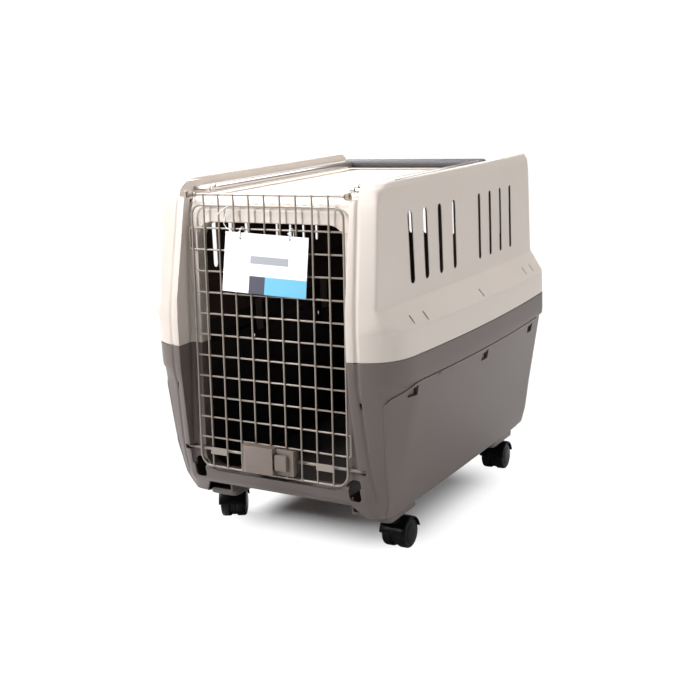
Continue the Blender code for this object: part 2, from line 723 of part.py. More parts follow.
SPRING_X, SPRING_W = (-0.0094, 0.0139), 0.0076


def rack_teeth(direction, first, last):
    """Trapezium teeth pointing at the gear; direction -1 is the upper rack."""
    bm = bmesh.new()
    phase = RACK_PITCH / 2
    root, tip = RACK_FACE + 0.0002, GEAR_R - 0.0007
    tooth = (
        (-TOOTH_ROOT_HALF, root), (TOOTH_ROOT_HALF, root),
        (TOOTH_TIP_HALF, tip), (-TOOTH_TIP_HALF, tip),
    )
    k = math.ceil((first - GEAR_X - phase) / RACK_PITCH)
    while GEAR_X + phase + k * RACK_PITCH <= last:
        x = GEAR_X + phase + k * RACK_PITCH
        add_loft(
            bm,
            [[door_point(x + dx, w, LATCH_V + direction * r) for dx, r in tooth] for w in BAR_W],
        )
        k += 1
    return bm


def latch_rod(name, x0, x1, door_axis):
    round_bar = rod(door_point(x0, ROD_W, LATCH_V), door_point(x1, ROD_W, LATCH_V), ROD_R, 10)
    return new_object(name, round_bar, "painted_wire", door_axis, smooth=True)


def build_latch_rods(door_axis):
    """Each rod has an end block, a rack bar and teeth."""
    join(
        latch_rod("latch_rod_left", -ROD_END, -0.0420, door_axis),
        latch_box(-0.0450, -0.0400, *RACK_W, -RACK_BACK, 0.0018),
        latch_box(-0.0430, -0.0090, *BAR_W, -RACK_BACK + INSET, -RACK_FACE),
        rack_teeth(-1, -0.0300, -0.0105),
    )
    join(
        latch_rod("latch_rod_right", 0.0400, ROD_END, door_axis),
        latch_box(0.0380, 0.0425, *RACK_W, -0.0018, RACK_BACK),
        latch_box(-0.0195, 0.0400, *BAR_W, RACK_FACE, RACK_BACK - INSET),
        rack_teeth(1, -0.0190, 0.0015),
    )


def build_pinion(door_axis):
    def place(radius, angle):
        return (GEAR_X + radius * math.cos(angle), -LATCH_V + radius * math.sin(angle))

    teeth, bore = [], []
    for k in range(GEAR_TEETH):
        middle = 2 * math.pi * k / GEAR_TEETH + math.pi / 2
        for offset, radius in GEAR_TOOTH:
            teeth.append(place(radius, middle + offset))
            bore.append(place(GEAR_BORE_R, middle + offset))
    gear = ring_solid(teeth, bore, -RACK_W[0], -RACK_W[1])
    new_object("latch_pinion", gear, "black_plastic", door_axis)
    ends = [door_point(GEAR_X, w, LATCH_V) for w in (-0.0097, -0.0031)]
    new_object("latch_pinion_pin", rod(*ends, GEAR_PIN_R), "steel", door_axis, smooth=True)


def build_slider(door_axis):
    slider = new_object("latch_slider", latch_box(*SLIDER_PAD), "taupe_latch", door_axis)
    join(slider, latch_box(*SLIDER_STEM), latch_box(*SLIDER_FOOT))


def build_spring(door_axis):
    """Compression spring between the cover's seat and the slider's stem."""
    start, end = SPRING_X
    count = SPRING_TURNS * SPRING_STEPS
    path = []
    for k in range(count + 1):
        a = 2 * math.pi * k / SPRING_STEPS
        x = start + (end - start) * k / count
        y, z = -SPRING_W + SPRING_R * math.cos(a), -LATCH_V + SPRING_R * math.sin(a)
        path.append(Vector((x, y, z)))
    rings = []
    for k, point in enumerate(path):
        tangent = (path[min(k + 1, count)] - path[max(k - 1, 0)]).normalized()
        centre = Vector(door_point(point.x, SPRING_W, LATCH_V))
        outwards = (point - centre).normalized()
        outwards = (outwards - tangent * outwards.dot(tangent)).normalized()
        other = tangent.cross(outwards)
        angles = [2 * math.pi * i / SPRING_SIDES for i in range(SPRING_SIDES)]
        rings.append([
            point + SPRING_WIRE_R * (math.cos(b) * outwards + math.sin(b) * other) for b in angles
        ])
    new_object("latch_spring", loft(rings), "steel", door_axis, smooth=True)


# --------------------------------------------------------- hang card and ties
CARD_HALF, CARD_W = 0.0770, (0.0060, 0.0068)
CARD_TOP_V, CARD_FOOT_V = 0.0605, 0.1545
TIES = (("left", -0.0420), ("right", 0.0500))   # name, x
TIE_TOP, TIE_LOW = FIRST_RUNG_V - 0.0032, CARD_TOP_V + 0.0060
TIE_HALF = 0.0008
TIE_BACK, TIE_FRONT, TIE_WALL = -0.0047, 0.0094, 0.0010
TIE_BAND = 0.0006      # half height of the tie's top and bottom bands
TIE_HOLE = 0.0018      # half size of the card's holes


def build_card(door_axis):
    sheet = door_boxes((-CARD_HALF, CARD_HALF, *CARD_W, CARD_TOP_V, CARD_FOOT_V))
    card = new_object("hang_card", sheet, "card", door_axis)
    hole_v = (TIE_LOW - TIE_HOLE, TIE_LOW + TIE_HOLE)
    cut(card, door_boxes(*[(x - TIE_HOLE, x + TIE_HOLE, 0.0, 0.02, *hole_v) for _, x in TIES]))
    outer = (TIE_BACK, TIE_FRONT, TIE_TOP - TIE_BAND, TIE_LOW + TIE_BAND)
    inner = (TIE_BACK + TIE_WALL, TIE_FRONT - TIE_WALL, TIE_TOP + TIE_BAND, TIE_LOW - TIE_BAND)
    for word, x in TIES:
        block = door_boxes((x - TIE_HALF, x + TIE_HALF, *outer))
        tie = new_object("card_tie_" + word, block, "black_plastic", door_axis)
        cut(tie, door_boxes((x - 0.002, x + 0.002, *inner)))


# --------------------------------------------------------------------- handle
TUBE_X, TUBE_R, TUBE_WALL = 0.135, 0.006, 0.0012
GRIP_REACH = 0.215 - PIVOT_Y       # from the pivot to the grip
GRIP_R, GRIP_END_R = 0.0083, 0.0062
GRIP_PROFILE = (
    (-0.1475, GRIP_END_R), (-0.1450, GRIP_R), (0.1450, GRIP_R), (0.1475, GRIP_END_R),
)
EYE_R, EYE_HALF, EYE_BORE_R = 0.0062, 0.0030, 0.00316
NECK_HALF_X, NECK_HALF_Z, NECK_END = 0.0028, 0.0045, 0.0102
PLUG_R, PLUG_Y = TUBE_R - 0.0015, (0.0090, 0.0260)
PIN_R, PIN_X = 0.0030, (0.1300, 0.1720)
PIN_HEAD_R, PIN_HEAD_X = 0.0045, (0.1285, 0.1308)


def rod_y(x, y0, y1, radius):
    """Rod along Y at the height of the handle's axis."""
    return rod((x, y0, 0), (x, y1, 0), radius)


def build_handle():
    axis = new_axis("handle_axis", (0, PIVOT_Y, TUBE_Z))
    grip_bar = turned(GRIP_PROFILE, 14, y=GRIP_REACH)
    grip = new_object("handle_grip", grip_bar, "grey_grip", axis, smooth=True)
    for side, word in SIDES:
        x = side * TUBE_X
        cut(grip, rod_y(x, GRIP_REACH - 0.020, GRIP_REACH + 0.0030, TUBE_R + GAP))
        bar = rod_y(x, 0.0105, GRIP_REACH + 0.0025, TUBE_R)
        tube = new_object("handle_tube_" + word, bar, "aluminium_tube", axis, smooth=True)
        cut(tube, rod_y(x, 0.0, GRIP_REACH - 0.005, TUBE_R - TUBE_WALL))
        # flat eye that plugs the tube and turns on the pin
        disc = rod((x - EYE_HALF, 0, 0), (x + EYE_HALF, 0, 0), EYE_R, 14)
        eye = new_object("handle_eye_" + word, disc, "aluminium_tube", axis, smooth=True)
        neck_x = (x - NECK_HALF_X, x + NECK_HALF_X)
        neck = boxes((*neck_x, 0.0, NECK_END, -NECK_HALF_Z, NECK_HALF_Z))
        join(eye, neck, rod_y(x, *PLUG_Y, PLUG_R))
        cut(eye, rod((x - 0.01, 0, 0), (x + 0.01, 0, 0), EYE_BORE_R))
        # pin with a wider head at its inner end
        shank, head = (
            rod((side * near, PIVOT_Y, TUBE_Z), (side * far, PIVOT_Y, TUBE_Z), radius)
            for (near, far), radius in ((PIN_X, PIN_R), (PIN_HEAD_X, PIN_HEAD_R))
        )
        join(new_object("handle_pin_" + word, shank, "steel", smooth=True), head)


# -------------------------------------------------------------------- casters
WHEEL_R = 0.025
TRAIL = 0.016          # the axle lies this far behind the stem
# (x, radius) of a wheel: flat inside, rounded tread, domed outside
WHEEL_PROFILE = (
    (0.0052, 0.0215), (0.0052, 0.0238), (0.0066, WHEEL_R), (0.0178, WHEEL_R),
    (0.0215, 0.0232), (0.0232, 0.0185), (0.0238, 0.0090),
)
HOOD_OUTER_R, HOOD_INNER_R, HOOD_HALF = 0.0285, 0.0261, 0.0240
WEB_R, WEB_HALF = 0.0268, 0.0042
WEB_FOOT_HALF, WEB_FOOT_DROP = 0.012, 0.008
AXLE_R, AXLE_HALF, AXLE_BORE_R = 0.0028, 0.0225, 0.0031
WHEEL_BORE_END = 0.0230
SOCKET_R, SOCKET_BORE_R = 0.0075, 0.0038
COLLAR_R, COLLAR_Z = 0.0095, (0.0508, 0.0602)
STEM_R, STEM_Z = 0.0035, (0.0560, 0.0860)


def wheel_arc(radius, start, step):
    """Eleven (y, z) points round the wheel's centre; angles in degrees."""
    angles = [math.radians(start + step * k) for k in range(11)]
    return [(TRAIL + radius * math.cos(a), WHEEL_R + radius * math.sin(a)) for a in angles]


def build_caster_body(tag, swivel):
    """Hood, central web, collar and stem in one moulding."""
    hood = wheel_arc(HOOD_OUTER_R, 12, 15.6) + wheel_arc(HOOD_INNER_R, 168, -15.6)
    hood_solid = prism_x(hood, -HOOD_HALF, HOOD_HALF)
    body = new_object(tag + "_body", hood_solid, "black_plastic", swivel)
    foot_z = WHEEL_R - WEB_FOOT_DROP
    web = wheel_arc(WEB_R, 18, 14.4)
    web += [(TRAIL - WEB_FOOT_HALF, foot_z), (TRAIL + WEB_FOOT_HALF, foot_z)]
    join(
        body,
        prism_x(web, -WEB_HALF, WEB_HALF),
        rod((0, 0, COLLAR_Z[0]), (0, 0, COLLAR_Z[1]), COLLAR_R, 14),
        rod((0, 0, STEM_Z[0]), (0, 0, STEM_Z[1]), STEM_R),
    )
    cut(body, rod((-0.03, TRAIL, WHEEL_R), (0.03, TRAIL, WHEEL_R), AXLE_BORE_R))


def build_caster(name, x, y, heading):
    tag = "caster_" + name
    plug = rod((x, y, PAD_Z + 0.0005), (x, y, 0.0900), SOCKET_R, 14)
    socket = new_object(tag + "_socket", plug, "black_plastic", smooth=True)
    cut(socket, rod((x, y, BELOW), (x, y, 0.0880), SOCKET_BORE_R))
    swivel = new_axis(tag + "_axis", (x, y, 0), (0, 0, math.radians(heading)))
    build_caster_body(tag, swivel)
    axle = rod((-AXLE_HALF, TRAIL, WHEEL_R), (AXLE_HALF, TRAIL, WHEEL_R), AXLE_R)
    new_object(tag + "_axle", axle, "steel", swivel, smooth=True)
    for side, word in SIDES:
        solid = turned([(side * across, radius) for across, radius in WHEEL_PROFILE], 20)
        wheel_name = "%s_wheel_%s" % (tag, word)
        wheel = new_object(wheel_name, solid, "black_plastic", swivel, smooth=True)
        wheel.location = (0, TRAIL, WHEEL_R)
        cut(wheel, rod((0, 0, 0), (side * WHEEL_BORE_END, 0, 0), AXLE_BORE_R))


# ------------------------------------------------------------------- assembly
build_upper_shell()
build_lower_shell()
build_side_clips()

door = new_axis("door_axis", (0, HINGE_Y, HINGE_Z), (-LEAN, 0, 0))
build_hinge(door)
build_grille(door)
build_latch_casing(door)
build_latch_rods(door)
build_pinion(door)
build_slider(door)
build_spring(door)
build_card(door)

build_handle()
for caster in CASTERS:
    build_caster(*caster)

for obj in bpy.data.objects:
    if obj.parent is None:
        obj.location.y += ORIGIN_Y
bpy.context.view_layer.update()
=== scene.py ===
"""Looks of a pet transport carrier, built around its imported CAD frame.

Metres, Z up, casters standing on z = 0. The wire door is in the front, towards -Y; left is -X.
The crate is drawn about its own middle and moved by HOME. The door is drawn hanging straight
down from its hinge rod and placed by DOOR.
"""

import json
import math
from collections import namedtuple

import bmesh
import bpy
from mathutils import Matrix, Vector

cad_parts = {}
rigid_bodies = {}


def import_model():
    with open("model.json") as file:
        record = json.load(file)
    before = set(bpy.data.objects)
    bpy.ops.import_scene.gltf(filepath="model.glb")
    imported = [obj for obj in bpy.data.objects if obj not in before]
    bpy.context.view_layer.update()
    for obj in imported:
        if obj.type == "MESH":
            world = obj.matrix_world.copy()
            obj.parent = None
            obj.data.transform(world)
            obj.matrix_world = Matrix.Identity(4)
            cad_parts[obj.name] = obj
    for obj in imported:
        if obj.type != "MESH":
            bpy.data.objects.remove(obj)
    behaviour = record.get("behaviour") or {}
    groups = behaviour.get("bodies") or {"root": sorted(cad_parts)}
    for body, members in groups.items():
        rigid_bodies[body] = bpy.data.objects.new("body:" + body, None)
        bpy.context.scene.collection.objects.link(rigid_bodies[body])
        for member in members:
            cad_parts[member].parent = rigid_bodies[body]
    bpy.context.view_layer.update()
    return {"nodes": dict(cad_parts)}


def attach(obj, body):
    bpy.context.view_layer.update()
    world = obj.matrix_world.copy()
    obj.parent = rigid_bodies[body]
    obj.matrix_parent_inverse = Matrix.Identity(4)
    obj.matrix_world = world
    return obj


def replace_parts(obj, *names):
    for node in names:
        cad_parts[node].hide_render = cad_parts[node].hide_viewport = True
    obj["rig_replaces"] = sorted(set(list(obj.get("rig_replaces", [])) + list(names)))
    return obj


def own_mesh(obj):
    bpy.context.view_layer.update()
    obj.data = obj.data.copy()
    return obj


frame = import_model()

ORIGIN_Y = 0.00337      # the crate's own middle lies this far behind the frame's origin
WALL = 0.0035
SEAM_Z = 0.342          # where the upper and lower shells meet
LOWER_TOP = SEAM_Z - 0.0003
ROOF_Z, TOP_Z, TRAY_HALF = 0.577, 0.601, 0.166
SHOULDER_HALF, SHOULDER_Z = 0.1955, 0.588
FLOOR_TOP, FLOOR_BOTTOM, FLOOR_HALF, PAD_Z = 0.108, 0.104, 0.118, 0.061
HINGE_Y, HINGE_Z, LATCH_Z, LATCH_PLANE_Y = -0.2823, 0.583, 0.1655, -0.3065
LEAN = math.atan2(HINGE_Y - LATCH_PLANE_Y, HINGE_Z - LATCH_Z)
LATCH_DOWN = (HINGE_Z - LATCH_Z) / math.cos(LEAN)     # from the hinge, along the door
OPENING_HALF, OPENING_LOW, OPENING_HIGH, OPENING_R = 0.137, 0.130, 0.538, 0.028
RECESS_BACK, JAMB, RECESS_LOW, RECESS_HIGH = 0.0085, 0.022, 0.1365, 0.62
ROD_OUT = -0.0048       # latch rods lie behind the door's plane
KEEPER_HALF = 0.0042
VENT_LOW, VENT_HIGH = 0.4405, 0.5525
VENT_MID, VENT_TALL = (VENT_LOW + VENT_HIGH) / 2, (VENT_HIGH - VENT_LOW) / 2
WHEEL_R, TRAIL = 0.025, 0.016
PIVOT_Y, GRIP_Y, TUBE_X, TUBE_Z = -0.240, 0.215, 0.135, 0.588
SIDES = (("left", -1), ("right", 1))

# side vents: (y, width)
VENTS = (
    (-0.194, 0.0140), (-0.1475, 0.0135), (-0.099, 0.0130), (-0.050, 0.0120),
    (0.048, 0.0100), (0.093, 0.0100), (0.138, 0.0100), (0.184, 0.0100),
)
# name, x, y, heading in degrees
CASTERS = (
    ("fl", -0.163, -0.205, 28.0), ("fr", 0.163, -0.205, 0.0),
    ("rl", -0.157, 0.207, -24.0), ("rr", 0.157, 0.207, 4.0),
)

# The right half of the crate's outline, level by level. Lip: inner edge of the front wing. Bend:
# control point of the front corner, with its weight. Side: where the corner ends. Mid: x halfway
# along the side. Rear: where the side ends. Back: y of the rear face. Turn: width of the rear corner.
Level = namedtuple(
    "Level", "z lip_x lip_y bend_x bend_y weight side_x side_y mid_x rear_x rear_y back_y turn"
)
OUTLINE = (
    (0.0745, 0.150, -0.270, 0.170, -0.266, 1.0, 0.1800, -0.240, 0.1840, 0.1790, 0.262, 0.307, 0.060),
    (0.0820, 0.165, -0.283, 0.186, -0.281, 1.6, 0.1905, -0.250, 0.1925, 0.1885, 0.262, 0.314, 0.055),
    (0.1100, 0.168, -0.300, 0.198, -0.299, 1.4, 0.1975, -0.255, 0.1985, 0.1960, 0.262, 0.318, 0.060),
    (0.1650, 0.165, -0.3105, 0.208, -0.306, 1.3, 0.2070, -0.252, 0.2095, 0.2045, 0.262, 0.3185, 0.070),
    (0.2980, 0.158, -0.3225, 0.228, -0.312, 1.15, 0.2290, -0.238, 0.2375, 0.2275, 0.262, 0.319, 0.075),
    (0.3020, 0.158, -0.3230, 0.232, -0.314, 1.15, 0.2350, -0.236, 0.2440, 0.2335, 0.262, 0.320, 0.075),
    (0.3420, 0.158, -0.3230, 0.234, -0.313, 1.15, 0.2355, -0.234, 0.2444, 0.2335, 0.262, 0.320, 0.075),
    (0.3820, 0.158, -0.3220, 0.232, -0.313, 1.2, 0.2330, -0.240, 0.2425, 0.2325, 0.262, 0.3195, 0.070),
    (0.4190, 0.157, -0.3190, 0.203, -0.307, 5.0, 0.2035, -0.275, 0.2095, 0.2055, 0.272, 0.318, 0.045),
    (0.5680, 0.151, -0.2870, 0.1995, -0.2845, 5.0, 0.2000, -0.258, 0.2090, 0.2045, 0.268, 0.314, 0.042),
    (0.5900, 0.151, -0.2780, 0.197, -0.276, 4.0, 0.1985, -0.250, 0.2085, 0.2035, 0.266, 0.311, 0.042),
    (0.6010, 0.153, -0.2640, 0.188, -0.262, 2.0, 0.1940, -0.238, 0.2050, 0.2000, 0.258, 0.302, 0.045),
)
# crease down the lower front corner: (z, x, y)
CREASE = (
    (0.0830, 0.1850, -0.2700), (0.109, 0.1949, -0.2813), (0.171, 0.2002, -0.2937),
    (0.236, 0.2036, -0.2989), (0.269, 0.2046, -0.3016), (0.300, 0.2060, -0.3040),
)
# half width of the door's recess: (z, x)
RECESS_HALF = (
    (0.0745, 0.1665), (0.165, 0.162), (0.298, 0.158), (0.419, 0.157), (0.568, 0.1535), (0.620, 0.1535),
)
# distances from the lip at which the wing's relief is sampled
NEAR = (
    0.0, 0.0010, 0.0030, 0.0055, 0.0080, 0.0100, 0.0112, 0.0124, 0.0136,
    0.0148, 0.0158, 0.0168, 0.0180, 0.0192, 0.0206, 0.0225, 0.0250,
)

HOME = Matrix.Translation((0, ORIGIN_Y, 0))
DOOR = Matrix.Translation((0, HINGE_Y + ORIGIN_Y, HINGE_Z)) @ Matrix.Rotation(-LEAN, 4, "X")


# ---------------------------------------------------------------- materials
def clamp(value):
    return max(0.0, min(1.0, value))


def feed(tree, socket, value):
    """Link a socket to another, or set its value."""
    if isinstance(value, bpy.types.NodeSocket):
        tree.links.new(value, socket)
    else:
        socket.default_value = value


def add_node(tree, kind, **values):
    """New node. Lower-case names are its settings, capitalised names are its inputs."""
    made = tree.nodes.new(kind)
    for key, value in values.items():
        if key.islower():
            setattr(made, key, value)
        else:
            feed(tree, made.inputs[key.replace("_", " ")], value)
    return made


def math_node(tree, operation, *operands, kind="ShaderNodeMath"):
    made = add_node(tree, kind, operation=operation)
    for socket, operand in zip(made.inputs, operands):
        feed(tree, socket, operand)
    return made.outputs["Vector" if "Vector" in made.outputs and operation != "LENGTH" else "Value"]


def surface(name, colour, rough, metallic=0.0, grain=900.0, bump=0.06, spread=0.035,
            edge=0.0009, coat=0.0, specular=0.5):
    """Moulded finish: fine grain, a slow drift of colour and gloss, and softened edges.

    grain is the fine noise's scale, spread the colour's drift, edge the radius of shaded edges.
    """
    rough_spread, grain_depth = 0.06, 0.0002
    mat = bpy.data.materials.new(name)
    mat.use_nodes = True
    tree = mat.node_tree
    shader = tree.nodes["Principled BSDF"]
    place = tree.nodes.new("ShaderNodeTexCoord").outputs["Object"]
    noise = "ShaderNodeTexNoise"
    slow = add_node(tree, noise, Vector=place, Scale=9.0, Detail=3.0, Roughness=0.6).outputs["Fac"]
    fine = add_node(tree, noise, Vector=place, Scale=grain, Detail=2.0, Roughness=0.55).outputs["Fac"]
    drift = add_node(
        tree, "ShaderNodeMix", data_type="RGBA", Factor=slow,
        A=(*[clamp(channel * (1 - spread)) for channel in colour], 1),
        B=(*[clamp(channel * (1 + spread)) for channel in colour], 1),
    )
    gloss = add_node(tree, "ShaderNodeMapRange",
                     To_Min=clamp(rough - rough_spread), To_Max=clamp(rough + rough_spread))
    # the gloss follows an even mix of both noises
    mixed = math_node(tree, "MULTIPLY_ADD", fine, 0.5)
    tree.links.new(math_node(tree, "MULTIPLY", slow, 0.5), mixed.node.inputs[2])
    tree.links.new(mixed, gloss.inputs["Value"])
    bumped = add_node(tree, "ShaderNodeBump", Strength=bump, Distance=grain_depth, Height=fine)
    if edge:
        soft = add_node(tree, "ShaderNodeBevel", samples=6, Radius=edge)
        tree.links.new(soft.outputs["Normal"], bumped.inputs["Normal"])
    for key, value in (
        ("Base Color", drift.outputs["Result"]), ("Roughness", gloss.outputs["Result"]),
        ("Normal", bumped.outputs["Normal"]), ("Metallic", metallic), ("Coat Weight", coat),
        ("Coat Roughness", 0.12), ("Specular IOR Level", specular),
    ):
        feed(tree, shader.inputs[key], value)
    return mat


CREAM = surface("cream_plastic", colour=(0.600, 0.534, 0.482), rough=0.46, bump=0.10)
# the insides are the same plastics painted far darker: painted shade inside the shells, their slits and
# pockets
CREAM_SHADED_INSIDE = surface("cream_inside_painted_shade", colour=(0.060, 0.034, 0.026), rough=0.75, bump=0.10, edge=0.0)
TAUPE = surface("taupe_plastic", colour=(0.128, 0.102, 0.092), rough=0.47, bump=0.10)
TAUPE_SHADED_INSIDE = surface("taupe_inside_painted_shade", colour=(0.022, 0.016, 0.014), rough=0.75, bump=0.10, edge=0.0)
LATCH = surface("taupe_latch", colour=(0.185, 0.148, 0.124), rough=0.36, bump=0.05, edge=0.0006)
WIRE = surface("wire_paint", colour=(0.290, 0.250, 0.215), rough=0.34, metallic=0.15,
               grain=1500.0, bump=0.05, edge=0.0)
GRIP = surface("grip_sleeve", colour=(0.060, 0.057, 0.063), rough=0.52,
               grain=700.0, bump=0.10, edge=0.0006)
ALU = surface("handle_tube", colour=(0.66, 0.63, 0.60), rough=0.30, metallic=0.9,
              grain=1200.0, bump=0.02, edge=0.0)
BLACK = surface("caster_nylon", colour=(0.0022, 0.0022, 0.0028), rough=0.38,
                grain=600.0, bump=0.03, edge=0.0006, specular=0.18)
STEEL = surface("zinc_steel", colour=(0.55, 0.54, 0.52), rough=0.30, metallic=1.0,
                grain=1200.0, bump=0.02, edge=0.0)
TIE = surface("clear_nylon", colour=(0.86, 0.86, 0.84), rough=0.25, grain=500.0, bump=0.02, edge=0.0)
TAN = surface("tan_bush", colour=(0.36, 0.30, 0.24), rough=0.40, edge=0.0004)

# printed areas of the card, in its UV square: (x from, x to, y from, y to), colour
PRINT = (
    ((0.325, 0.515, 0.0, 0.295), (0.085, 0.085, 0.115)),
    ((0.515, 1.001, 0.0, 0.295), (0.165, 0.480, 0.690)),
    ((0.325, 0.90, 0.335, 0.42), (0.76, 0.77, 0.80)),
    ((0.325, 0.78, 0.50, 0.63), (0.36, 0.37, 0.40)),
)


def card_material():
    """White card with a dark square, a light blue band and two grey bars."""
    mat = surface("card_print", colour=(0.86, 0.87, 0.90), rough=0.30,
                  grain=400.0, bump=0.02, edge=0.0, coat=0.3)
    tree = mat.node_tree
    base = tree.nodes["Principled BSDF"].inputs["Base Color"]
    source = base.links[0].from_socket
    face = add_node(tree, "ShaderNodeUVMap", uv_map="face").outputs["UV"]
    split = add_node(tree, "ShaderNodeSeparateXYZ", Vector=face)
    for (x_low, x_high, y_low, y_high), colour in PRINT:
        mix = add_node(tree, "ShaderNodeMix", data_type="RGBA", A=source, B=(*colour, 1))
        inside = None
        for axis, operation, limit in (
            ("X", "GREATER_THAN", x_low), ("X", "LESS_THAN", x_high),
            ("Y", "GREATER_THAN", y_low), ("Y", "LESS_THAN", y_high),
        ):
            test = math_node(tree, operation, split.outputs[axis], limit)
            inside = math_node(tree, "MULTIPLY", inside, test) if inside else test
        tree.links.new(inside, mix.inputs["Factor"])
        source = mix.outputs["Result"]
    tree.links.new(source, base)
    return mat


CARD = card_material()
# the inside materials are the outside plastics darkened as painted shade
BOTH_UPPER, BOTH_LOWER = [CREAM, CREAM_SHADED_INSIDE], [TAUPE, TAUPE_SHADED_INSIDE]     # outside, inside


# ---------------------------------------------------------- objects, booleans
def put(name, shape, mats, matrix=HOME, angle=34.0, index=0):
    """Object from a bmesh, triangulated and smooth, with edges over the angle (degrees) sharp."""
    bmesh.ops.triangulate(shape, faces=[face for face in shape.faces if len(face.verts) > 3])
    bmesh.ops.recalc_face_normals(shape, faces=shape.faces)
    for face in shape.faces:
        face.material_index = index
        face.smooth = True
    mesh = bpy.data.meshes.new(name)
    shape.to_mesh(mesh)
    shape.free()
    mesh.transform(matrix)
    obj = bpy.data.objects.new(name, mesh)
    bpy.context.scene.collection.objects.link(obj)
    for mat in mats:
        mesh.materials.append(mat)
    mesh.set_sharp_from_angle(angle=math.radians(angle))
    return obj


def boolean(target, other, operation):
    """The manifold solver copes with faces that nearly touch. EXACT follows if it gives nothing."""
    for solver in ("MANIFOLD", "EXACT"):
        modifier = target.modifiers.new("cut", "BOOLEAN")
        modifier.operation, modifier.solver, modifier.object = operation, solver, other
        bpy.context.view_layer.update()
        graph = bpy.context.evaluated_depsgraph_get()
        result = bpy.data.meshes.new_from_object(target.evaluated_get(graph))
        target.modifiers.clear()
        if len(result.polygons) > 0:
            break
    target.data = result
    bpy.data.objects.remove(other, do_unlink=True)


def helper(target, shape, index=0, matrix=HOME):
    """Passing object that shares the target's materials."""
    return put("helper", shape, list(target.data.materials), matrix, index=index)


def cut(target, shape, index=0, matrix=HOME):
    boolean(target, helper(target, shape, index, matrix), "DIFFERENCE")


def join(target, shape, index=0, matrix=HOME):
    boolean(target, helper(target, shape, index, matrix), "UNION")


def trim(target, shape):
    boolean(target, helper(target, shape), "INTERSECT")


def soften(obj, width, segments, degrees):
    bevel = obj.modifiers.new("soft", "BEVEL")
    bevel.width, bevel.segments = width, segments
    bevel.limit_method, bevel.angle_limit = "ANGLE", math.radians(degrees)
    return bevel


def finish(obj, body, slot, *replaced):
    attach(obj, body)
    if replaced:
        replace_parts(obj, *replaced)


# ------------------------------------------------------------ shape helpers
def add_rows(shape, rings):
    return [[shape.verts.new(point) for point in points] for points in rings]


def bridge(shape, rows):
    count = len(rows[0])
    for low, high in zip(rows, rows[1:]):
        for i in range(count):
            j = (i + 1) % count
            shape.faces.new((low[i], low[j], high[j], high[i]))


def add_loft(shape, rings):
    rows = add_rows(shape, rings)
    bridge(shape, rows)
    shape.faces.new(rows[0][::-1])
    shape.faces.new(rows[-1])
    return shape


def loft(rings):
    return add_loft(bmesh.new(), rings)


def on_axis(points, axis, place):
    """Flat points set at a place along an axis."""
    if axis == "X":
        return [(place, first, second) for first, second in points]
    if axis == "Y":
        return [(first, place, second) for first, second in points]
    return [(first, second, place) for first, second in points]


def add_prism(shape, points, axis, low, high):
    return add_loft(shape, [on_axis(points, axis, place) for place in (low, high)])


def prism(points, axis, low, high):
    return add_prism(bmesh.new(), points, axis, low, high)


def add_box(shape, x_low, x_high, y_low, y_high, z_low, z_high):
    corners = [
        shape.verts.new((x, y, z))
        for x in (x_low, x_high) for y in (y_low, y_high) for z in (z_low, z_high)
    ]
    for quad in ((0, 1, 3, 2), (4, 6, 7, 5), (0, 4, 5, 1), (2, 3, 7, 6), (0, 2, 6, 4), (1, 5, 7, 3)):
        shape.faces.new([corners[i] for i in quad])
    return shape


def box(*limits):
    return add_box(bmesh.new(), *limits)


def span(side, near, far):
    """Range on one side of the middle, low end first."""
    return sorted((side * near, side * far))


def arc(x, y, radius, start, end, count):
    angles = [math.radians(start + (end - start) * k / count) for k in range(count + 1)]
    return [(x + radius * math.cos(angle), y + radius * math.sin(angle)) for angle in angles]


def disc(x, y, radius, count=24):
    return arc(x, y, radius, 0, 360 - 360 / count, count - 1)


def capsule(x, y, half_width, half_height):
    """Upright slot with round ends."""
    upper = arc(x, y + half_height - half_width, half_width, 0, 180, 5)
    return upper + arc(x, y - half_height + half_width, half_width, 180, 360, 5)


def rounded(x_low, x_high, y_low, y_high, radius, count):
    """Rectangle with round corners."""
    left, right, low, high = x_low + radius, x_high - radius, y_low + radius, y_high - radius
    points = []
    for x, y, start in ((right, high, 0), (left, high, 90), (left, low, 180), (right, low, 270)):
        points += arc(x, y, radius, start, start + 90, count)
    return points


def densify(loop, spacing):
    """Closed loop with its long stretches divided."""
    dense = []
    for here, after in zip(loop, loop[1:] + loop[:1]):
        dx, dy = after[0] - here[0], after[1] - here[1]
        count = max(1, int(math.hypot(dx, dy) / spacing))
        dense += [(here[0] + dx * k / count, here[1] + dy * k / count) for k in range(count)]
    return dense


def circle(centre, across, other, radius, count):
    turns = [2 * math.pi * k / count for k in range(count)]
    return [centre + radius * (math.cos(turn) * across + math.sin(turn) * other) for turn in turns]


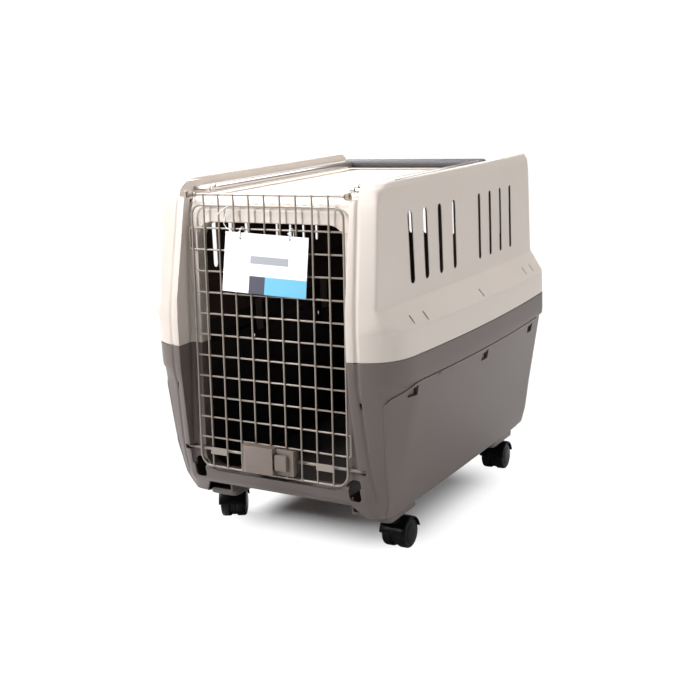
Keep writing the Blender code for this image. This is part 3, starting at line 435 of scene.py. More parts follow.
def add_tube(shape, path, radius, sides=10, closed=False):
    """Round wire along a path, with one radius or one for each point; open ends are domed."""
    path = [Vector(point) for point in path]
    count = len(path)
    radii = radius if hasattr(radius, "__len__") else [radius] * count
    tangents = []
    for i in range(count):
        before = path[(i - 1) % count] if closed or i > 0 else path[i]
        after = path[(i + 1) % count] if closed or i < count - 1 else path[i]
        tangents.append((after - before).normalized())
    across = tangents[0].orthogonal().normalized()
    rings = []
    for centre, tangent, size in zip(path, tangents, radii):
        across = (across - tangent * across.dot(tangent)).normalized()
        rings.append(circle(centre, across, tangent.cross(across), size, sides))
    rows = add_rows(shape, rings)
    first, last = rows[0], rows[-1]
    if closed:
        # the last ring is turned to the first by the closest match
        def mismatch(turn):
            return sum((first[(k + turn) % sides].co - last[k].co).length for k in range(sides))

        shift = min(range(sides), key=mismatch)
        bridge(shape, rows + [first[shift:] + first[:shift]])
        return shape
    bridge(shape, rows)
    for row, tangent, size, sign in ((first, tangents[0], radii[0], -1), (last, tangents[-1], radii[-1], 1)):
        centre = sum((vert.co for vert in row), Vector()) / sides
        tip = centre + sign * tangent * size * 0.45
        small = [shape.verts.new(tip + (vert.co - centre) * 0.7) for vert in row]
        bridge(shape, [row, small])
        shape.faces.new(small)
    return shape


def spin(profile, count, origin, axis):
    """Solid turned from (along, radius) pairs about a line through the origin point."""
    axis = Vector(axis).normalized()
    across = axis.orthogonal().normalized()
    other = axis.cross(across)
    return loft([circle(Vector(origin) + axis * along, across, other, radius, count)
                 for along, radius in profile])


# ------------------------------------------------------------ crate outline
def between(rows, z):
    """Row of a table at a height; the first column is z."""
    if z <= rows[0][0]:
        return rows[0]
    for low, high in zip(rows, rows[1:]):
        if z <= high[0]:
            share = (z - low[0]) / (high[0] - low[0])
            return tuple(start + share * (end - start) for start, end in zip(low, high))
    return rows[-1]


def level(z):
    return Level(*between(OUTLINE, z))


def soft_level(z):
    """The outline with its creases rounded a little from level to level."""
    reach = 0.0018
    if 0.2985 < z < 0.3015 or z < 0.09 or z > 0.5985:
        return level(z)
    picks = [level(z + reach * k / 3) for k in range(-3, 4)]
    return Level(*[sum(column) / 7 for column in zip(*picks)])


def bezier(start, control, end, share, weight=1.0):
    parts = (1 - share) ** 2, 2 * share * (1 - share) * weight, share * share
    total = parts[0] + parts[1] + parts[2]
    return tuple(
        (parts[0] * first + parts[1] * middle + parts[2] * last) / total
        for first, middle, last in zip(start, control, end)
    )


def smooth(low, high, value):
    share = clamp((value - low) / (high - low))
    return share * share * (3 - 2 * share)


def relief(distance, z):
    """Height over the wing's plain front, at a distance from its lip: a raised rim, then a groove."""
    fade = smooth(0.100, 0.125, z) * (1 - smooth(0.572, 0.590, z))
    rim = 0.0007 * smooth(0.0, 0.003, distance) * (1 - smooth(0.0100, 0.0125, distance))
    groove = -0.0020 * smooth(0.0112, 0.0150, distance) * (1 - smooth(0.0165, 0.0205, distance))
    return fade * (rim + groove)


def carved(points, z):
    """The front with its relief, each point moved square to the line."""
    moved, distance = [], 0.0
    for i, (x, y) in enumerate(points):
        before, after = points[max(0, i - 1)], points[min(len(points) - 1, i + 1)]
        if i:
            distance += math.hypot(x - before[0], y - before[1])
        along_x, along_y = after[0] - before[0], after[1] - before[1]
        size = math.hypot(along_x, along_y) or 1.0
        height = relief(distance, z)
        moved.append((x + height * along_y / size, y - height * along_x / size))
    return moved


def faceted(points, z):
    """The lower corner is two nearly flat facets with a crease between them."""
    strength = smooth(0.083, 0.100, z) * (1 - smooth(0.276, 0.296, z))
    if strength <= 0:
        return points
    crease = Vector(between(CREASE, z)[1:])
    spots = [Vector(point) for point in points]
    run = [0.0]
    for here, after in zip(spots, spots[1:]):
        run.append(run[-1] + (after - here).length)
    turn = min(range(len(spots)), key=lambda i: (spots[i] - crease).length)
    turn = max(1, min(len(spots) - 2, turn))
    result = []
    for i, spot in enumerate(spots):
        if i <= turn:
            flat = spots[0].lerp(spots[turn], run[i] / run[turn])
        else:
            flat = spots[turn].lerp(spots[-1], (run[i] - run[turn]) / (run[-1] - run[turn]))
        result.append(tuple(spot.lerp(flat, 0.85 * strength)))
    return result


def side_point(row, share):
    """Point along the bowed side, from the front corner (0) to the rear corner (1)."""
    straight = row.side_x + share * (row.rear_x - row.side_x)
    bow = (row.mid_x - (row.side_x + row.rear_x) / 2) * (1 - (2 * share - 1) ** 2)
    return straight + bow, row.side_y + share * (row.rear_y - row.side_y)


def side_x_at(row, y):
    return side_point(row, (y - row.side_y) / (row.rear_y - row.side_y))[0]


def shrink(points, inset):
    """Closed loop moved inwards."""
    moved, count = [], len(points)
    for i in range(count):
        before, here, after = (Vector(points[(i + k) % count]) for k in (-1, 0, 1))
        first = Vector(((here - before).y, -(here - before).x)).normalized()
        second = Vector(((after - here).y, -(after - here).x)).normalized()
        middle = (first + second).normalized()
        moved.append(here - middle * inset / max(0.6, middle.dot(first)))
    return moved


def close_ring(row, front, side_steps, rear_steps, inset, z):
    """Whole outline from its right front corner, mirrored and moved in."""
    rear, end = (row.rear_x, row.rear_y), (row.rear_x - row.turn, row.back_y)
    half = front + [side_point(row, k / side_steps) for k in range(1, side_steps)] + [rear]
    corner = row.rear_x, row.back_y
    half += [bezier(rear, corner, end, k / rear_steps) for k in range(1, rear_steps)] + [end]
    loop = half + [(-x, y) for x, y in reversed(half)]
    return [(x, y, z) for x, y in shrink(loop, inset)]


def front_points(row):
    return (row.lip_x, row.lip_y), (row.bend_x, row.bend_y), (row.side_x, row.side_y)


def ring(z, inset, carve=True):
    """Fine outline of the outside, closely sampled near the lip."""
    row, corner_steps = soft_level(z), 18
    weight = row.weight * (1 + 1.4 * smooth(0.405, 0.430, z) * (1 - smooth(0.570, 0.592, z)))
    lip, bend, side = front_points(row)
    length = math.hypot(bend[0] - lip[0], bend[1] - lip[1])
    reach = min(1.0, 0.62 * length / NEAR[-1])
    shares = []
    for distance in NEAR:
        part = distance * reach / length
        odds = part / (1 - part)
        shares.append(odds / (odds + 2 * weight))
    last = shares[-1]
    shares += [last + (1 - last) * (k + 1) / corner_steps for k in range(corner_steps)]
    front = faceted([bezier(lip, bend, side, share, weight) for share in shares], z)
    if carve:
        front = carved(front, z)
    return close_ring(row, front, 26, 10, inset, z)


def plain_ring(z, inset, at=None):
    """Coarser outline with no relief, for the inside; it can be set at another height."""
    row = level(z)
    front = faceted([bezier(*front_points(row), k / 9, row.weight) for k in range(10)], z)
    return close_ring(row, front, 9, 6, inset, z if at is None else at)


def door_plane(z):
    return HINGE_Y - (HINGE_Z - z) * math.tan(LEAN)


def recess(grow, low):
    """Leaning block in which the door sits."""
    radius, rings = 0.007, []
    for z in (low, 0.165, 0.230, 0.298, 0.360, 0.419, 0.500, 0.568, RECESS_HIGH):
        half, back = between(RECESS_HALF, z)[1] + grow, door_plane(z) + RECESS_BACK + grow
        right = arc(half - radius, back - radius, radius, 0, 90, 6)
        loop = [(-half, -0.36), (half, -0.36)] + right + [(-x, y) for x, y in reversed(right)]
        rings.append(on_axis(loop, "Z", z))
    return loft(rings)


def opening(grow, stations):
    """Doorway through (distance behind the door's plane, flare) stations."""
    rings = []
    for behind, flare in stations:
        loop = rounded(
            -(OPENING_HALF + grow) - flare, OPENING_HALF + grow + flare,
            OPENING_LOW - grow - flare, OPENING_HIGH + grow + flare, OPENING_R + grow + flare, 9,
        )
        rings.append([(x, door_plane(z) + behind, z) for x, z in loop])
    return loft(rings)


JAMB_STATIONS = ((RECESS_BACK + 0.0005, 0.0), (RECESS_BACK + JAMB, 0.0))
DOORWAY = (
    (-0.02, 0.0012), (RECESS_BACK + 0.0001, 0.0012),
    (RECESS_BACK + 0.0028, 0.0), (RECESS_BACK + JAMB + 0.02, 0.0),
)


def steps(*marks):
    """Levels between marks given as (z, number of steps to the next)."""
    levels = []
    for (start, count), (end, _) in zip(marks, marks[1:]):
        levels += [start + (end - start) * k / count for k in range(count)]
    return levels + [marks[-1][0]]


def add_door_walls(shell, levels, jamb_low, jamb_high, sill=False):
    """Walls round the door's recess and behind the doorway, held within the shell."""
    wall = helper(shell, recess(WALL, RECESS_LOW - WALL))
    trim(wall, loft([plain_ring(z, 0.0006) for z in levels]))
    if sill:
        cut(wall, sill_roll())
    boolean(shell, wall, "UNION")
    jamb = helper(shell, opening(WALL, JAMB_STATIONS))
    trim(jamb, box(-0.3, 0.3, -0.4, 0.4, jamb_low, jamb_high))
    boolean(shell, jamb, "UNION")


def shade_shell(obj):
    for face in obj.data.polygons:
        face.use_smooth = True
    obj.data.set_sharp_from_angle(angle=math.radians(27))


# -------------------------------------------------------------- upper shell
def upper_inset(z):
    """Rounds the top and seam edges."""
    top = clamp((z - 0.5975) / (TOP_Z - 0.5975))
    low = clamp((0.3436 - z) / 0.0016)
    return 0.0024 * (1 - math.sqrt(1 - top * top)) + 0.0009 * (1 - math.sqrt(1 - low * low)) + 1e-6


def cut_tray(shell):
    """Tray between the wings, with a rounded foot, and the shoulder in each wing."""
    foot = 0.005
    profile = [(-TRAY_HALF, 0.70)]
    for k in range(6):
        angle = math.radians(18 * k)
        profile.append((-TRAY_HALF + foot - foot * math.cos(angle), ROOF_Z + foot - foot * math.sin(angle)))
    profile += [(-x, z) for x, z in reversed(profile)]
    cut(shell, prism(profile, "Y", -0.4, 0.4))
    shoulder = rounded(-SHOULDER_HALF, SHOULDER_HALF, -0.225, 0.45, 0.012, 6)
    cut(shell, prism(shoulder, "Z", SHOULDER_Z, 0.7))


def roll_header(shell):
    """The header rolls back into the roof, with the wall thickened behind the roll."""
    roll, roll_z = 0.0210, 0.5560
    header_y = door_plane(roll_z) + RECESS_BACK
    thick = [
        (header_y + 0.0030, 0.5470), (header_y + 0.0050, 0.5470),
        (header_y + roll + 0.0050, 0.5680), (header_y + roll + 0.0050, 0.5745),
        (header_y + 0.0030, 0.5745),
    ]
    # the thickening takes the inside's painted shade
    join(shell, prism(thick, "X", -0.1530, 0.1530), index=1)
    profile = [(header_y - 0.0300, 0.5550), (header_y - 0.0004, 0.5550)]
    for k in range(10):
        angle = math.radians(10 * k)
        rise = (ROOF_Z - roll_z + 0.0002) * math.sin(angle)
        profile.append((header_y + roll - roll * math.cos(angle), roll_z + rise))
    profile += [(header_y + roll, 0.6300), (header_y - 0.0300, 0.6300)]
    cut(shell, prism(profile, "X", -0.1533, 0.1533))


def cut_vents(shell):
    """Slits in the sides and the back, each opening out towards the inside."""
    shape = bmesh.new()

    def add_vent(axis, centre, half_width, stations):
        add_loft(shape, [
            on_axis(capsule(centre, VENT_MID, half_width + grow, VENT_TALL + grow), axis, place)
            for place, grow in stations
        ])

    for y, width in VENTS:
        for side in (-1, 1):
            stations = ((0.27, 0.0), (0.2050, 0.0), (0.1930, 0.0080), (0.1800, 0.0080))
            add_vent("X", y, width / 2, [(side * x, grow) for x, grow in stations])
    for x in (0.030, 0.062, 0.094, 0.126):
        for side in (-1, 1):
            stations = ((0.36, 0.0), (0.3150, 0.0), (0.3000, 0.0080), (0.26, 0.0080))
            add_vent("Y", side * x, 0.0050, stations)
    # the slits' walls take the inside's painted shade
    cut(shell, shape, index=1)


# middles of the ledge's slots: (y, x, z)
SLOTS = (
    (-0.2364, 0.2241, 0.3943), (-0.1972, 0.2270, 0.3934), (-0.0019, 0.2331, 0.3925),
    (0.2024, 0.2265, 0.3950), (0.2400, 0.2251, 0.3942),
)
# a slot's outline: (distance down the slope, half width)
SLOT_OUTLINE = (
    (-0.0082, 0.0006), (-0.0072, 0.0015), (-0.0050, 0.0020),
    (0.0050, 0.0020), (0.0072, 0.0015), (0.0082, 0.0006),
)


def cut_slots_and_seats(shell):
    """Shallow slots in the ledge, and seats for the handle's pins and the hinge rod."""
    shape = bmesh.new()
    slope, outwards = Vector((0.665, -0.746)), Vector((0.746, 0.665))
    for side in (-1, 1):
        for y, x, z in SLOTS:
            columns = []
            for along, half in SLOT_OUTLINE:
                deep, proud = (Vector((x, z)) + slope * along + outwards * height
                               for height in (-0.0019, 0.0060))
                columns.append([
                    (side * point.x, y + sign * half, point.y)
                    for point, sign in ((deep, -1), (deep, 1), (proud, 1), (proud, -1))
                ])
            add_loft(shape, columns)
    for near, far, y, z in ((0.160, 0.1738, PIVOT_Y, TUBE_Z), (0.150, 0.1582, HINGE_Y, HINGE_Z)):
        for side in (-1, 1):
            add_prism(shape, disc(y, z, 0.0034, 16), "X", *span(side, near, far))
    cut(shell, shape)


def build_upper():
    levels = steps(
        (SEAM_Z, 2), (0.3436, 2), (0.348, 3), (0.378, 8), (0.386, 6), (0.412, 8),
        (0.424, 6), (0.566, 4), (0.590, 3), (0.5975, 5), (TOP_Z, 1),
    )
    shell = put("crate_upper", loft([ring(z, upper_inset(z)) for z in levels]), BOTH_UPPER)
    rings = [plain_ring(SEAM_Z, WALL, SEAM_Z - 0.001)]
    rings += [plain_ring(z, WALL) for z in (0.360, 0.380, 0.398, 0.417, 0.490, 0.568)]
    rings.append(plain_ring(0.580, WALL, SHOULDER_Z - WALL))
    # the cavity's faces take the inside's painted shade
    inside = helper(shell, loft(rings), 1)
    roof = box(-TRAY_HALF - WALL, TRAY_HALF + WALL, -0.4, 0.4, ROOF_Z - WALL, 0.7)
    cut(inside, roof, index=1)
    boolean(shell, inside, "DIFFERENCE")
    add_door_walls(shell, (SEAM_Z, 0.382, 0.419, 0.568, 0.590, 0.6005), SEAM_Z, 0.7)
    cut_tray(shell)
    cut(shell, recess(0.0, 0.13))
    roll_header(shell)
    cut(shell, opening(0.0, DOORWAY))
    cut_vents(shell)
    cut_slots_and_seats(shell)
    shade_shell(shell)
    return shell


def build_vent_rims():
    """A thin moulded rim round every side vent."""
    shape = bmesh.new()
    for y_mid, width in VENTS:
        loop = densify(capsule(y_mid, VENT_MID, width / 2 + 0.0004, VENT_TALL + 0.0004), 0.012)
        for side in (-1, 1):
            path = [(side * (side_x_at(soft_level(z), y) - 0.0002), y, z) for y, z in loop]
            add_tube(shape, path, 0.0007, 6, closed=True)
    return put("vent_rims", shape, [CREAM])


# -------------------------------------------------------------- lower shell
def lower_inset(z):
    """Rounds the seam edge."""
    top = clamp((z - 0.3397) / (LOWER_TOP - 0.3397))
    return 0.0012 * (1 - math.sqrt(max(0.0, 1 - top * top))) + 1e-6


# front and top edge of the raised side pad: (y, z)
PAD_EDGE = (
    (-0.2250, 0.2983), (-0.2450, 0.2955), (-0.2620, 0.2915), (-0.2780, 0.2870), (-0.2897, 0.2832),
    (-0.2947, 0.2800), (-0.2990, 0.2755), (-0.3010, 0.2705), (-0.3012, 0.265), (-0.2989, 0.236),
    (-0.2937, 0.171), (-0.2813, 0.109), (-0.2740, 0.0850),
)


def add_side_pads(shell):
    """Raised pad on each side, below the step."""
    levels = steps((0.0800, 2), (0.0840, 4), (0.110, 5), (0.165, 8), (0.292, 3), (0.2985, 1))
    rings = [ring(z, -0.0022 * smooth(0.079, 0.084, z), carve=False) for z in levels]
    pad = helper(shell, loft(rings))
    rear, low, high = 0.262, 0.0805, 0.2983
    loop = [*PAD_EDGE, (-0.2650, low)]
    loop += arc(rear - 0.030, low + 0.030, 0.030, 270, 360, 7)
    loop += arc(rear - 0.012, high - 0.012, 0.012, 0, 90, 7)
    shape = bmesh.new()
    for side in (-1, 1):
        add_prism(shape, loop, "X", *span(side, 0.15, 0.30))
    trim(pad, shape)
    boolean(shell, pad, "UNION")


def sill_roll():
    """What is taken off the sill so that its upper front edge is rolled over."""
    roll = 0.0085
    front_y = level(RECESS_LOW - 0.004).lip_y
    profile = [(-0.36, 0.1450), (-0.36, RECESS_LOW - roll)]
    for k in range(7):
        angle = math.radians(15 * k)
        profile.append((front_y - 0.0002 + roll - roll * math.cos(angle),
                        RECESS_LOW - roll + (roll + 0.0002) * math.sin(angle)))
    profile.append((front_y + roll, 0.1450))
    return prism(profile, "X", -0.1390, 0.1390)


def add_caster_pads(shell):
    for _, x, y, _ in CASTERS:
        left, right = span(math.copysign(1, x), 0.1225, 0.1795)
        front, back = (y - 0.042, y + 0.050) if y < 0 else (y - 0.050, y + 0.042)
        rings = []
        for z, grow in ((PAD_Z, -0.0015), (PAD_Z + 0.0010, -0.0004), (PAD_Z + 0.0022, 0.0), (0.0805, 0.0012)):
            loop = rounded(left - grow, right + grow, front - grow, back + grow, 0.010, 6)
            rings.append(on_axis(loop, "Z", z))
        join(shell, loft(rings))
        join(shell, prism(disc(x, y, 0.0125), "Z", 0.0700, 0.0950))


def cut_sill_pockets(shell):
    """Pockets between the ends of the sill and the wings, with round bottoms."""
    shape = bmesh.new()
    for side in (-1, 1):
        low, high = span(side, 0.1385, 0.1600)
        pocket = rounded(low, high, 0.1130, RECESS_LOW + 0.012, 0.0075, 5)
        add_prism(shape, pocket, "Y", -0.36, -0.2925)
    cut(shell, shape)


def cut_keepers_and_stem_holes(shell):
    """Slots for the latch rods' ends, and holes for the casters' stems."""
    rod_y = door_plane(LATCH_Z) - ROD_OUT
    low, high = LATCH_Z - KEEPER_HALF, LATCH_Z + KEEPER_HALF
    slot = [(-0.36, low), (rod_y, low)] + arc(rod_y, LATCH_Z, KEEPER_HALF, -75, 75, 8)
    slot += [(rod_y, high), (-0.36, high)]
    shape = bmesh.new()
    for side in (-1, 1):
        add_prism(shape, slot, "X", *span(side, 0.155, 0.1735))
    for _, x, y, _ in CASTERS:
        add_prism(shape, disc(x, y, 0.0078), "Z", 0.0500, 0.0905)
    cut(shell, shape)


# side clips: (y, x of the pocket's inner face, skew of that face)
CLIPS = ((-0.246, 0.2135, 0.30), (-0.001, 0.2240, 0.0), (0.217, 0.2160, -0.17))
# clip pocket's outline: (y from the clip's middle, z)
CLIP_POCKET = (
    (-0.0120, 0.2780), (-0.0110, 0.2770), (0.0120, 0.2770),
    (0.0125, 0.2790), (0.0125, 0.2925), (-0.0125, 0.2890),
)


def cut_clip_pockets(shell):
    """Each side clip sits in a pocket that is closed towards the inside."""
    for side in (-1, 1):
        for y, inner, skew in CLIPS:
            def block(near, far, half, low, high):
                corners = ((near, -half), (far, -half), (far, half), (near, half))
                return loft([
                    [(side * (x + skew * along), y + along, z) for x, along in corners]
                    for z in (low, high)
                ])

            # the pocket's closed walls take the inside's painted shade
            join(shell, block(inner - 0.0024, inner + 0.0046, 0.0150, 0.2715, 0.2965), index=1)
            cut(shell, block(inner - 0.0008, inner + 0.0038, 0.0098, 0.2690, 0.3000), index=1)
            cut(shell, loft([
                [(side * (inner + depth + skew * along), y + along, z) for along, z in CLIP_POCKET]
                for depth in (-0.0008, 0.0400)
            ]))


def build_lower():
    levels = steps(
        (0.0745, 3), (0.0820, 5), (0.110, 5), (0.165, 8), (0.292, 3), (0.298, 3),
        (0.302, 4), (0.3385, 4), (LOWER_TOP, 1),
    )
    shell = put("crate_lower", loft([ring(z, lower_inset(z)) for z in levels]), BOTH_LOWER)
    add_side_pads(shell)
    cut(shell, sill_roll())
    # the cavity: (z of the outline, inset, z where it is set)
    stations = (
        (0.082, WALL + 0.002, 0.079), (0.110, WALL, 0.110), (0.165, WALL, 0.165),
        (0.230, WALL, 0.230), (0.298, WALL, 0.298), (0.298, WALL, 0.304),
        (0.302, WALL, 0.309), (0.342, WALL, 0.344),
    )
    # the cavity's faces take the inside's painted shade
    inside = helper(shell, loft([plain_ring(*station) for station in stations]), 1)
    cut(inside, box(-FLOOR_HALF - WALL, FLOOR_HALF + WALL, -0.4, 0.4, 0.05, FLOOR_TOP), index=1)
    boolean(shell, inside, "DIFFERENCE")
    wall_levels = (0.0755, 0.0820, 0.110, 0.165, 0.298, 0.302, LOWER_TOP)
    add_door_walls(shell, wall_levels, 0.05, LOWER_TOP, sill=True)
    add_caster_pads(shell)
    cut(shell, box(-FLOOR_HALF, FLOOR_HALF, -0.4, 0.4, 0.05, FLOOR_BOTTOM))
    # flared notch under the front of the floor
    notch_z = FLOOR_BOTTOM + 0.0005
    notch = [(-0.138, notch_z), (0.138, notch_z), (0.172, 0.060), (-0.172, 0.060)]
    cut(shell, prism(notch, "Y", -0.40, -0.262))
    cut(shell, recess(0.0, RECESS_LOW))
    cut_sill_pockets(shell)
    cut(shell, opening(0.0, DOORWAY))
    cut_keepers_and_stem_holes(shell)
    cut_clip_pockets(shell)
    return shell


def build_mould_bumps():
    """Small oval bumps high on the sides of the lower shell."""
    shape = bmesh.new()
    row = level(0.2970)
    turns = [2 * math.pi * k / 14 for k in range(14)]
    for side in (-1, 1):
        for y, z in ((-0.1665, 0.2975), (0.0980, 0.3000)):
            x = side_x_at(row, y)
            rows = add_rows(shape, [
                [(side * (x + 0.0022 * height),
                  y + size * 0.0055 * math.cos(turn) + 0.0012 * math.sin(turn),
                  z - 0.0035 + size * 0.0021 * math.sin(turn)) for turn in turns]
                for height, size in ((-0.6, 1.0), (0.9, 1.0), (1.15, 0.8), (1.25, 0.5))
            ])
            bridge(shape, rows)
            shape.faces.new(rows[-1])
            shape.faces.new(rows[0][::-1])
    return put("mould_bumps", shape, [TAUPE])


upper, rims = build_upper(), build_vent_rims()
lower, bumps = build_lower(), build_mould_bumps()
shade_shell(lower)
finish(upper, "crate", "cream_plastic", "upper_shell")
finish(rims, "crate", "cream_plastic")
finish(lower, "crate", "taupe_plastic", "lower_shell")
finish(bumps, "crate", "taupe_plastic")


# --------------------------------------------------------------------- door
def on_door(x, outwards, down):
    """Point in the door's own directions, measured from the hinge rod."""
    return (x, -outwards, -down)


def door_box(x_low, x_high, out_low, out_high, down_low, down_high):
    return (x_low, x_high, -out_high, -out_low, -down_high, -down_low)


FRAME_HALF, LOOP_REACH = 0.141, 0.1472
FRAME_TOP, FRAME_FOOT, TOP_CORNER, FOOT_CORNER = 0.0170, 0.4455, 0.0167, 0.0207
UPRIGHT_X = [(k - 4) * 0.0290 for k in range(9)]
RUNGS = [0.0530 + 0.0344 * k for k in range(11)]
UPRIGHT_OUT, RUNG_OUT, WIRE_R, BEND_R = 0.0013, -0.0014, 0.00152, 0.0040


def u_turn(side, upper_rung, lower_rung):
    """Two rungs joined by a loop that reaches past the frame."""
    tip, bend = side * LOOP_REACH, side * BEND_R
    quarter = [math.radians(18 * k) for k in range(6)]
    path = [(-side * FRAME_HALF, upper_rung), (0, upper_rung), (tip - bend, upper_rung)]
    path += [(tip - bend + bend * math.sin(angle), upper_rung + BEND_R - BEND_R * math.cos(angle))
             for angle in quarter[1:]]
    path += [(tip - bend + bend * math.cos(angle), lower_rung - BEND_R + BEND_R * math.sin(angle))
             for angle in quarter]
    path += [(0, lower_rung), (-side * FRAME_HALF, lower_rung)]
    return [on_door(x, RUNG_OUT, down) for x, down in path]


def build_grille():
    shape = bmesh.new()
    right, left = FRAME_HALF - FOOT_CORNER, -FRAME_HALF + FOOT_CORNER
    loop = arc(right, FRAME_FOOT - FOOT_CORNER, FOOT_CORNER, 0, 90, 8)
    loop += arc(left, FRAME_FOOT - FOOT_CORNER, FOOT_CORNER, 90, 180, 8)
    right, left = FRAME_HALF - TOP_CORNER, -FRAME_HALF + TOP_CORNER
    loop += arc(left, FRAME_TOP + TOP_CORNER, TOP_CORNER, 180, 270, 8)
    loop += arc(right, FRAME_TOP + TOP_CORNER, TOP_CORNER, 270, 360, 8)
    path = [on_door(x, 0.0, down) for x, down in densify(loop, 0.05)]
    add_tube(shape, path, 0.00182, 12, closed=True)
    # uprights, each bent outwards over the hinge rod
    for x in UPRIGHT_X:
        path = (
            (UPRIGHT_OUT, FRAME_FOOT + 0.0012), (UPRIGHT_OUT, 0.2), (UPRIGHT_OUT, 0.010),
            (0.0020, 0.0040), (0.0024, -0.0006),
        )
        add_tube(shape, [on_door(x, outwards, down) for outwards, down in path], WIRE_R)
    add_tube(shape, u_turn(-1, RUNGS[0], RUNGS[1]), WIRE_R)
    add_tube(shape, u_turn(1, RUNGS[-2], RUNGS[-1]), WIRE_R)
    for down in RUNGS[2:-2]:
        add_tube(shape, [on_door(x, RUNG_OUT, down) for x in (-FRAME_HALF, 0, FRAME_HALF)], WIRE_R)
    # weld nuggets at the crossings
    for down in RUNGS:
        for x in UPRIGHT_X:
            path = [on_door(x - 0.0011, -0.0002, down), on_door(x + 0.0011, -0.0002, down)]
            add_tube(shape, path, 0.00135, 8)
    door = put("door_wires", shape, [WIRE], DOOR, angle=60)
    finish(door, "door", "painted_wire", "door_grille")


def build_hinge():
    """Hinge rod, with a coil spring and washers on it."""
    shape = bmesh.new()
    path = [
        (-0.1548, 0, 0), (-0.10, 0, 0), (0.0, 0, 0), (0.1365, 0, 0), (0.1395, -0.0003, -0.0008),
        (0.1420, -0.0004, -0.0013), (0.1445, -0.0002, -0.0008), (0.1475, 0, 0), (0.1548, 0, 0),
    ]
    add_tube(shape, path, 0.00185, 12)
    turns, per_turn, coil_r = 6, 12, 0.0034
    coil = []
    for k in range(turns * per_turn + 1):
        angle = 2 * math.pi * k / per_turn
        x = -0.1460 + 0.0092 * k / (turns * per_turn)
        coil.append((x, coil_r * math.cos(angle), coil_r * math.sin(angle)))
    coil += [(-0.1362, 0.0034, -0.0040), (-0.1360, 0.0032, -0.0085)]
    add_tube(shape, coil, 0.00062, 7)
    for left, right, radius in ((-0.1345, -0.1325, 0.0034), (0.1432, 0.1446, 0.0032)):
        add_tube(shape, [(left, 0, 0), (right, 0, 0)], radius, 14)
    # bent wire end by the right washer
    path = [(0.1452, -0.0030, 0.0020), (0.1452, -0.0036, -0.0010),
            (0.1454, -0.0024, -0.0042), (0.1458, 0.0010, -0.0052)]
    add_tube(shape, path, 0.0008, 8)
    hinge = put("hinge_wire", shape, [WIRE], DOOR, angle=50)
    finish(hinge, "door", "painted_wire", "hinge_rod")


def build_latch_rod(word, side, body, rack, teeth):
    """Round rod with a domed end, and a toothed rack above (left) or below (right) its line."""
    shape = bmesh.new()
    path = [on_door(side * x, ROD_OUT, LATCH_DOWN) for x in (0.0415, 0.10, 0.1699)]
    add_tube(shape, path, 0.0025, 16)
    arm = sorted((LATCH_DOWN - side * 0.0018, LATCH_DOWN + side * 0.0096))
    add_box(shape, *door_box(*span(side, 0.0385, 0.0428), -0.0072, -0.0034, *arm))
    bar = sorted((LATCH_DOWN + side * 0.0071, LATCH_DOWN + side * 0.0096))
    add_box(shape, *door_box(*rack, -0.0071, -0.0035, *bar))
    # the teeth mesh with a 12-tooth pinion of 6 mm pitch radius
    pitch = 2 * math.pi * 0.006 / 12
    origin = -0.0145 + pitch / 2
    tooth = ((-0.00062, 0.0073), (0.00062, 0.0073), (0.00028, 0.0053), (-0.00028, 0.0053))
    first, last = teeth
    k = math.ceil((first + 0.0145 - pitch / 2) / pitch)
    while origin + k * pitch <= last:
        add_loft(shape, [
            [on_door(origin + k * pitch + x, outwards, LATCH_DOWN + side * down) for x, down in tooth]
            for outwards in (-0.0071, -0.0035)
        ])
        k += 1
    rod = put("rod_" + word, shape, [WIRE], DOOR, angle=40)
    finish(rod, body, "painted_wire", "latch_rod_" + word)


TIE_X = (("left", -0.0420), ("right", 0.0500))


def build_card():
    """Slightly curled card, with a hole for each tie."""
    shape = bmesh.new()
    uv_layer = shape.loops.layers.uv.new("face")
    columns, rows, thickness = 30, 18, 0.0008
    front, rear = [], []
    for j in range(rows + 1):
        low = j / rows
        front.append([])
        rear.append([])
        for i in range(columns + 1):
            along = i / columns
            x = (1 - low) * (-0.0700 + 0.154 * along) + low * (-0.0800 + 0.156 * along)
            down = (1 - low) * (0.0563 + 0.0060 * along) + low * (0.1502 + 0.0050 * along)
            outwards = (
                0.0062 + 0.0006 * math.sin(3.0 * along + 0.6) * low
                + 0.0009 * low * low * math.sin(math.pi * along) + 0.0005 * low * (1 - along)
            )
            front[-1].append(shape.verts.new(on_door(x, outwards + thickness, down)))
            rear[-1].append(shape.verts.new(on_door(x, outwards, down)))
    for grid in (front, rear):
        for j in range(rows):
            for i in range(columns):
                corners = ((i, j), (i + 1, j), (i + 1, j + 1), (i, j + 1))
                face = shape.faces.new([grid[row][column] for column, row in corners])
                for corner, (column, row) in zip(face.loops, corners):
                    corner[uv_layer].uv = (column / columns, 1 - row / rows)

    def border(grid):
        right, left = [row[-1] for row in grid[1:]], [row[0] for row in grid[-2:0:-1]]
        return grid[0] + right + grid[-1][-2::-1] + left

    bridge(shape, [border(front), border(rear)])
    card = put("info_card", shape, [CARD], DOOR, angle=40)
    holes = bmesh.new()
    for _, x in TIE_X:
        add_prism(holes, disc(x, -0.0665, 0.0019, 12), "Y", -0.02, 0.0)
    cut(card, holes, matrix=DOOR)
    finish(card, "door", "card", "hang_card")


# free tail of the left tie: (x, down)
TIE_TAIL = (
    (-0.0589, 0.0536), (-0.0665, 0.0514), (-0.0716, 0.0445), (-0.0687, 0.0335), (-0.0642, 0.0218),
    (-0.0630, 0.0171), (-0.0715, 0.0211), (-0.0767, 0.0251), (-0.0844, 0.0307),
)


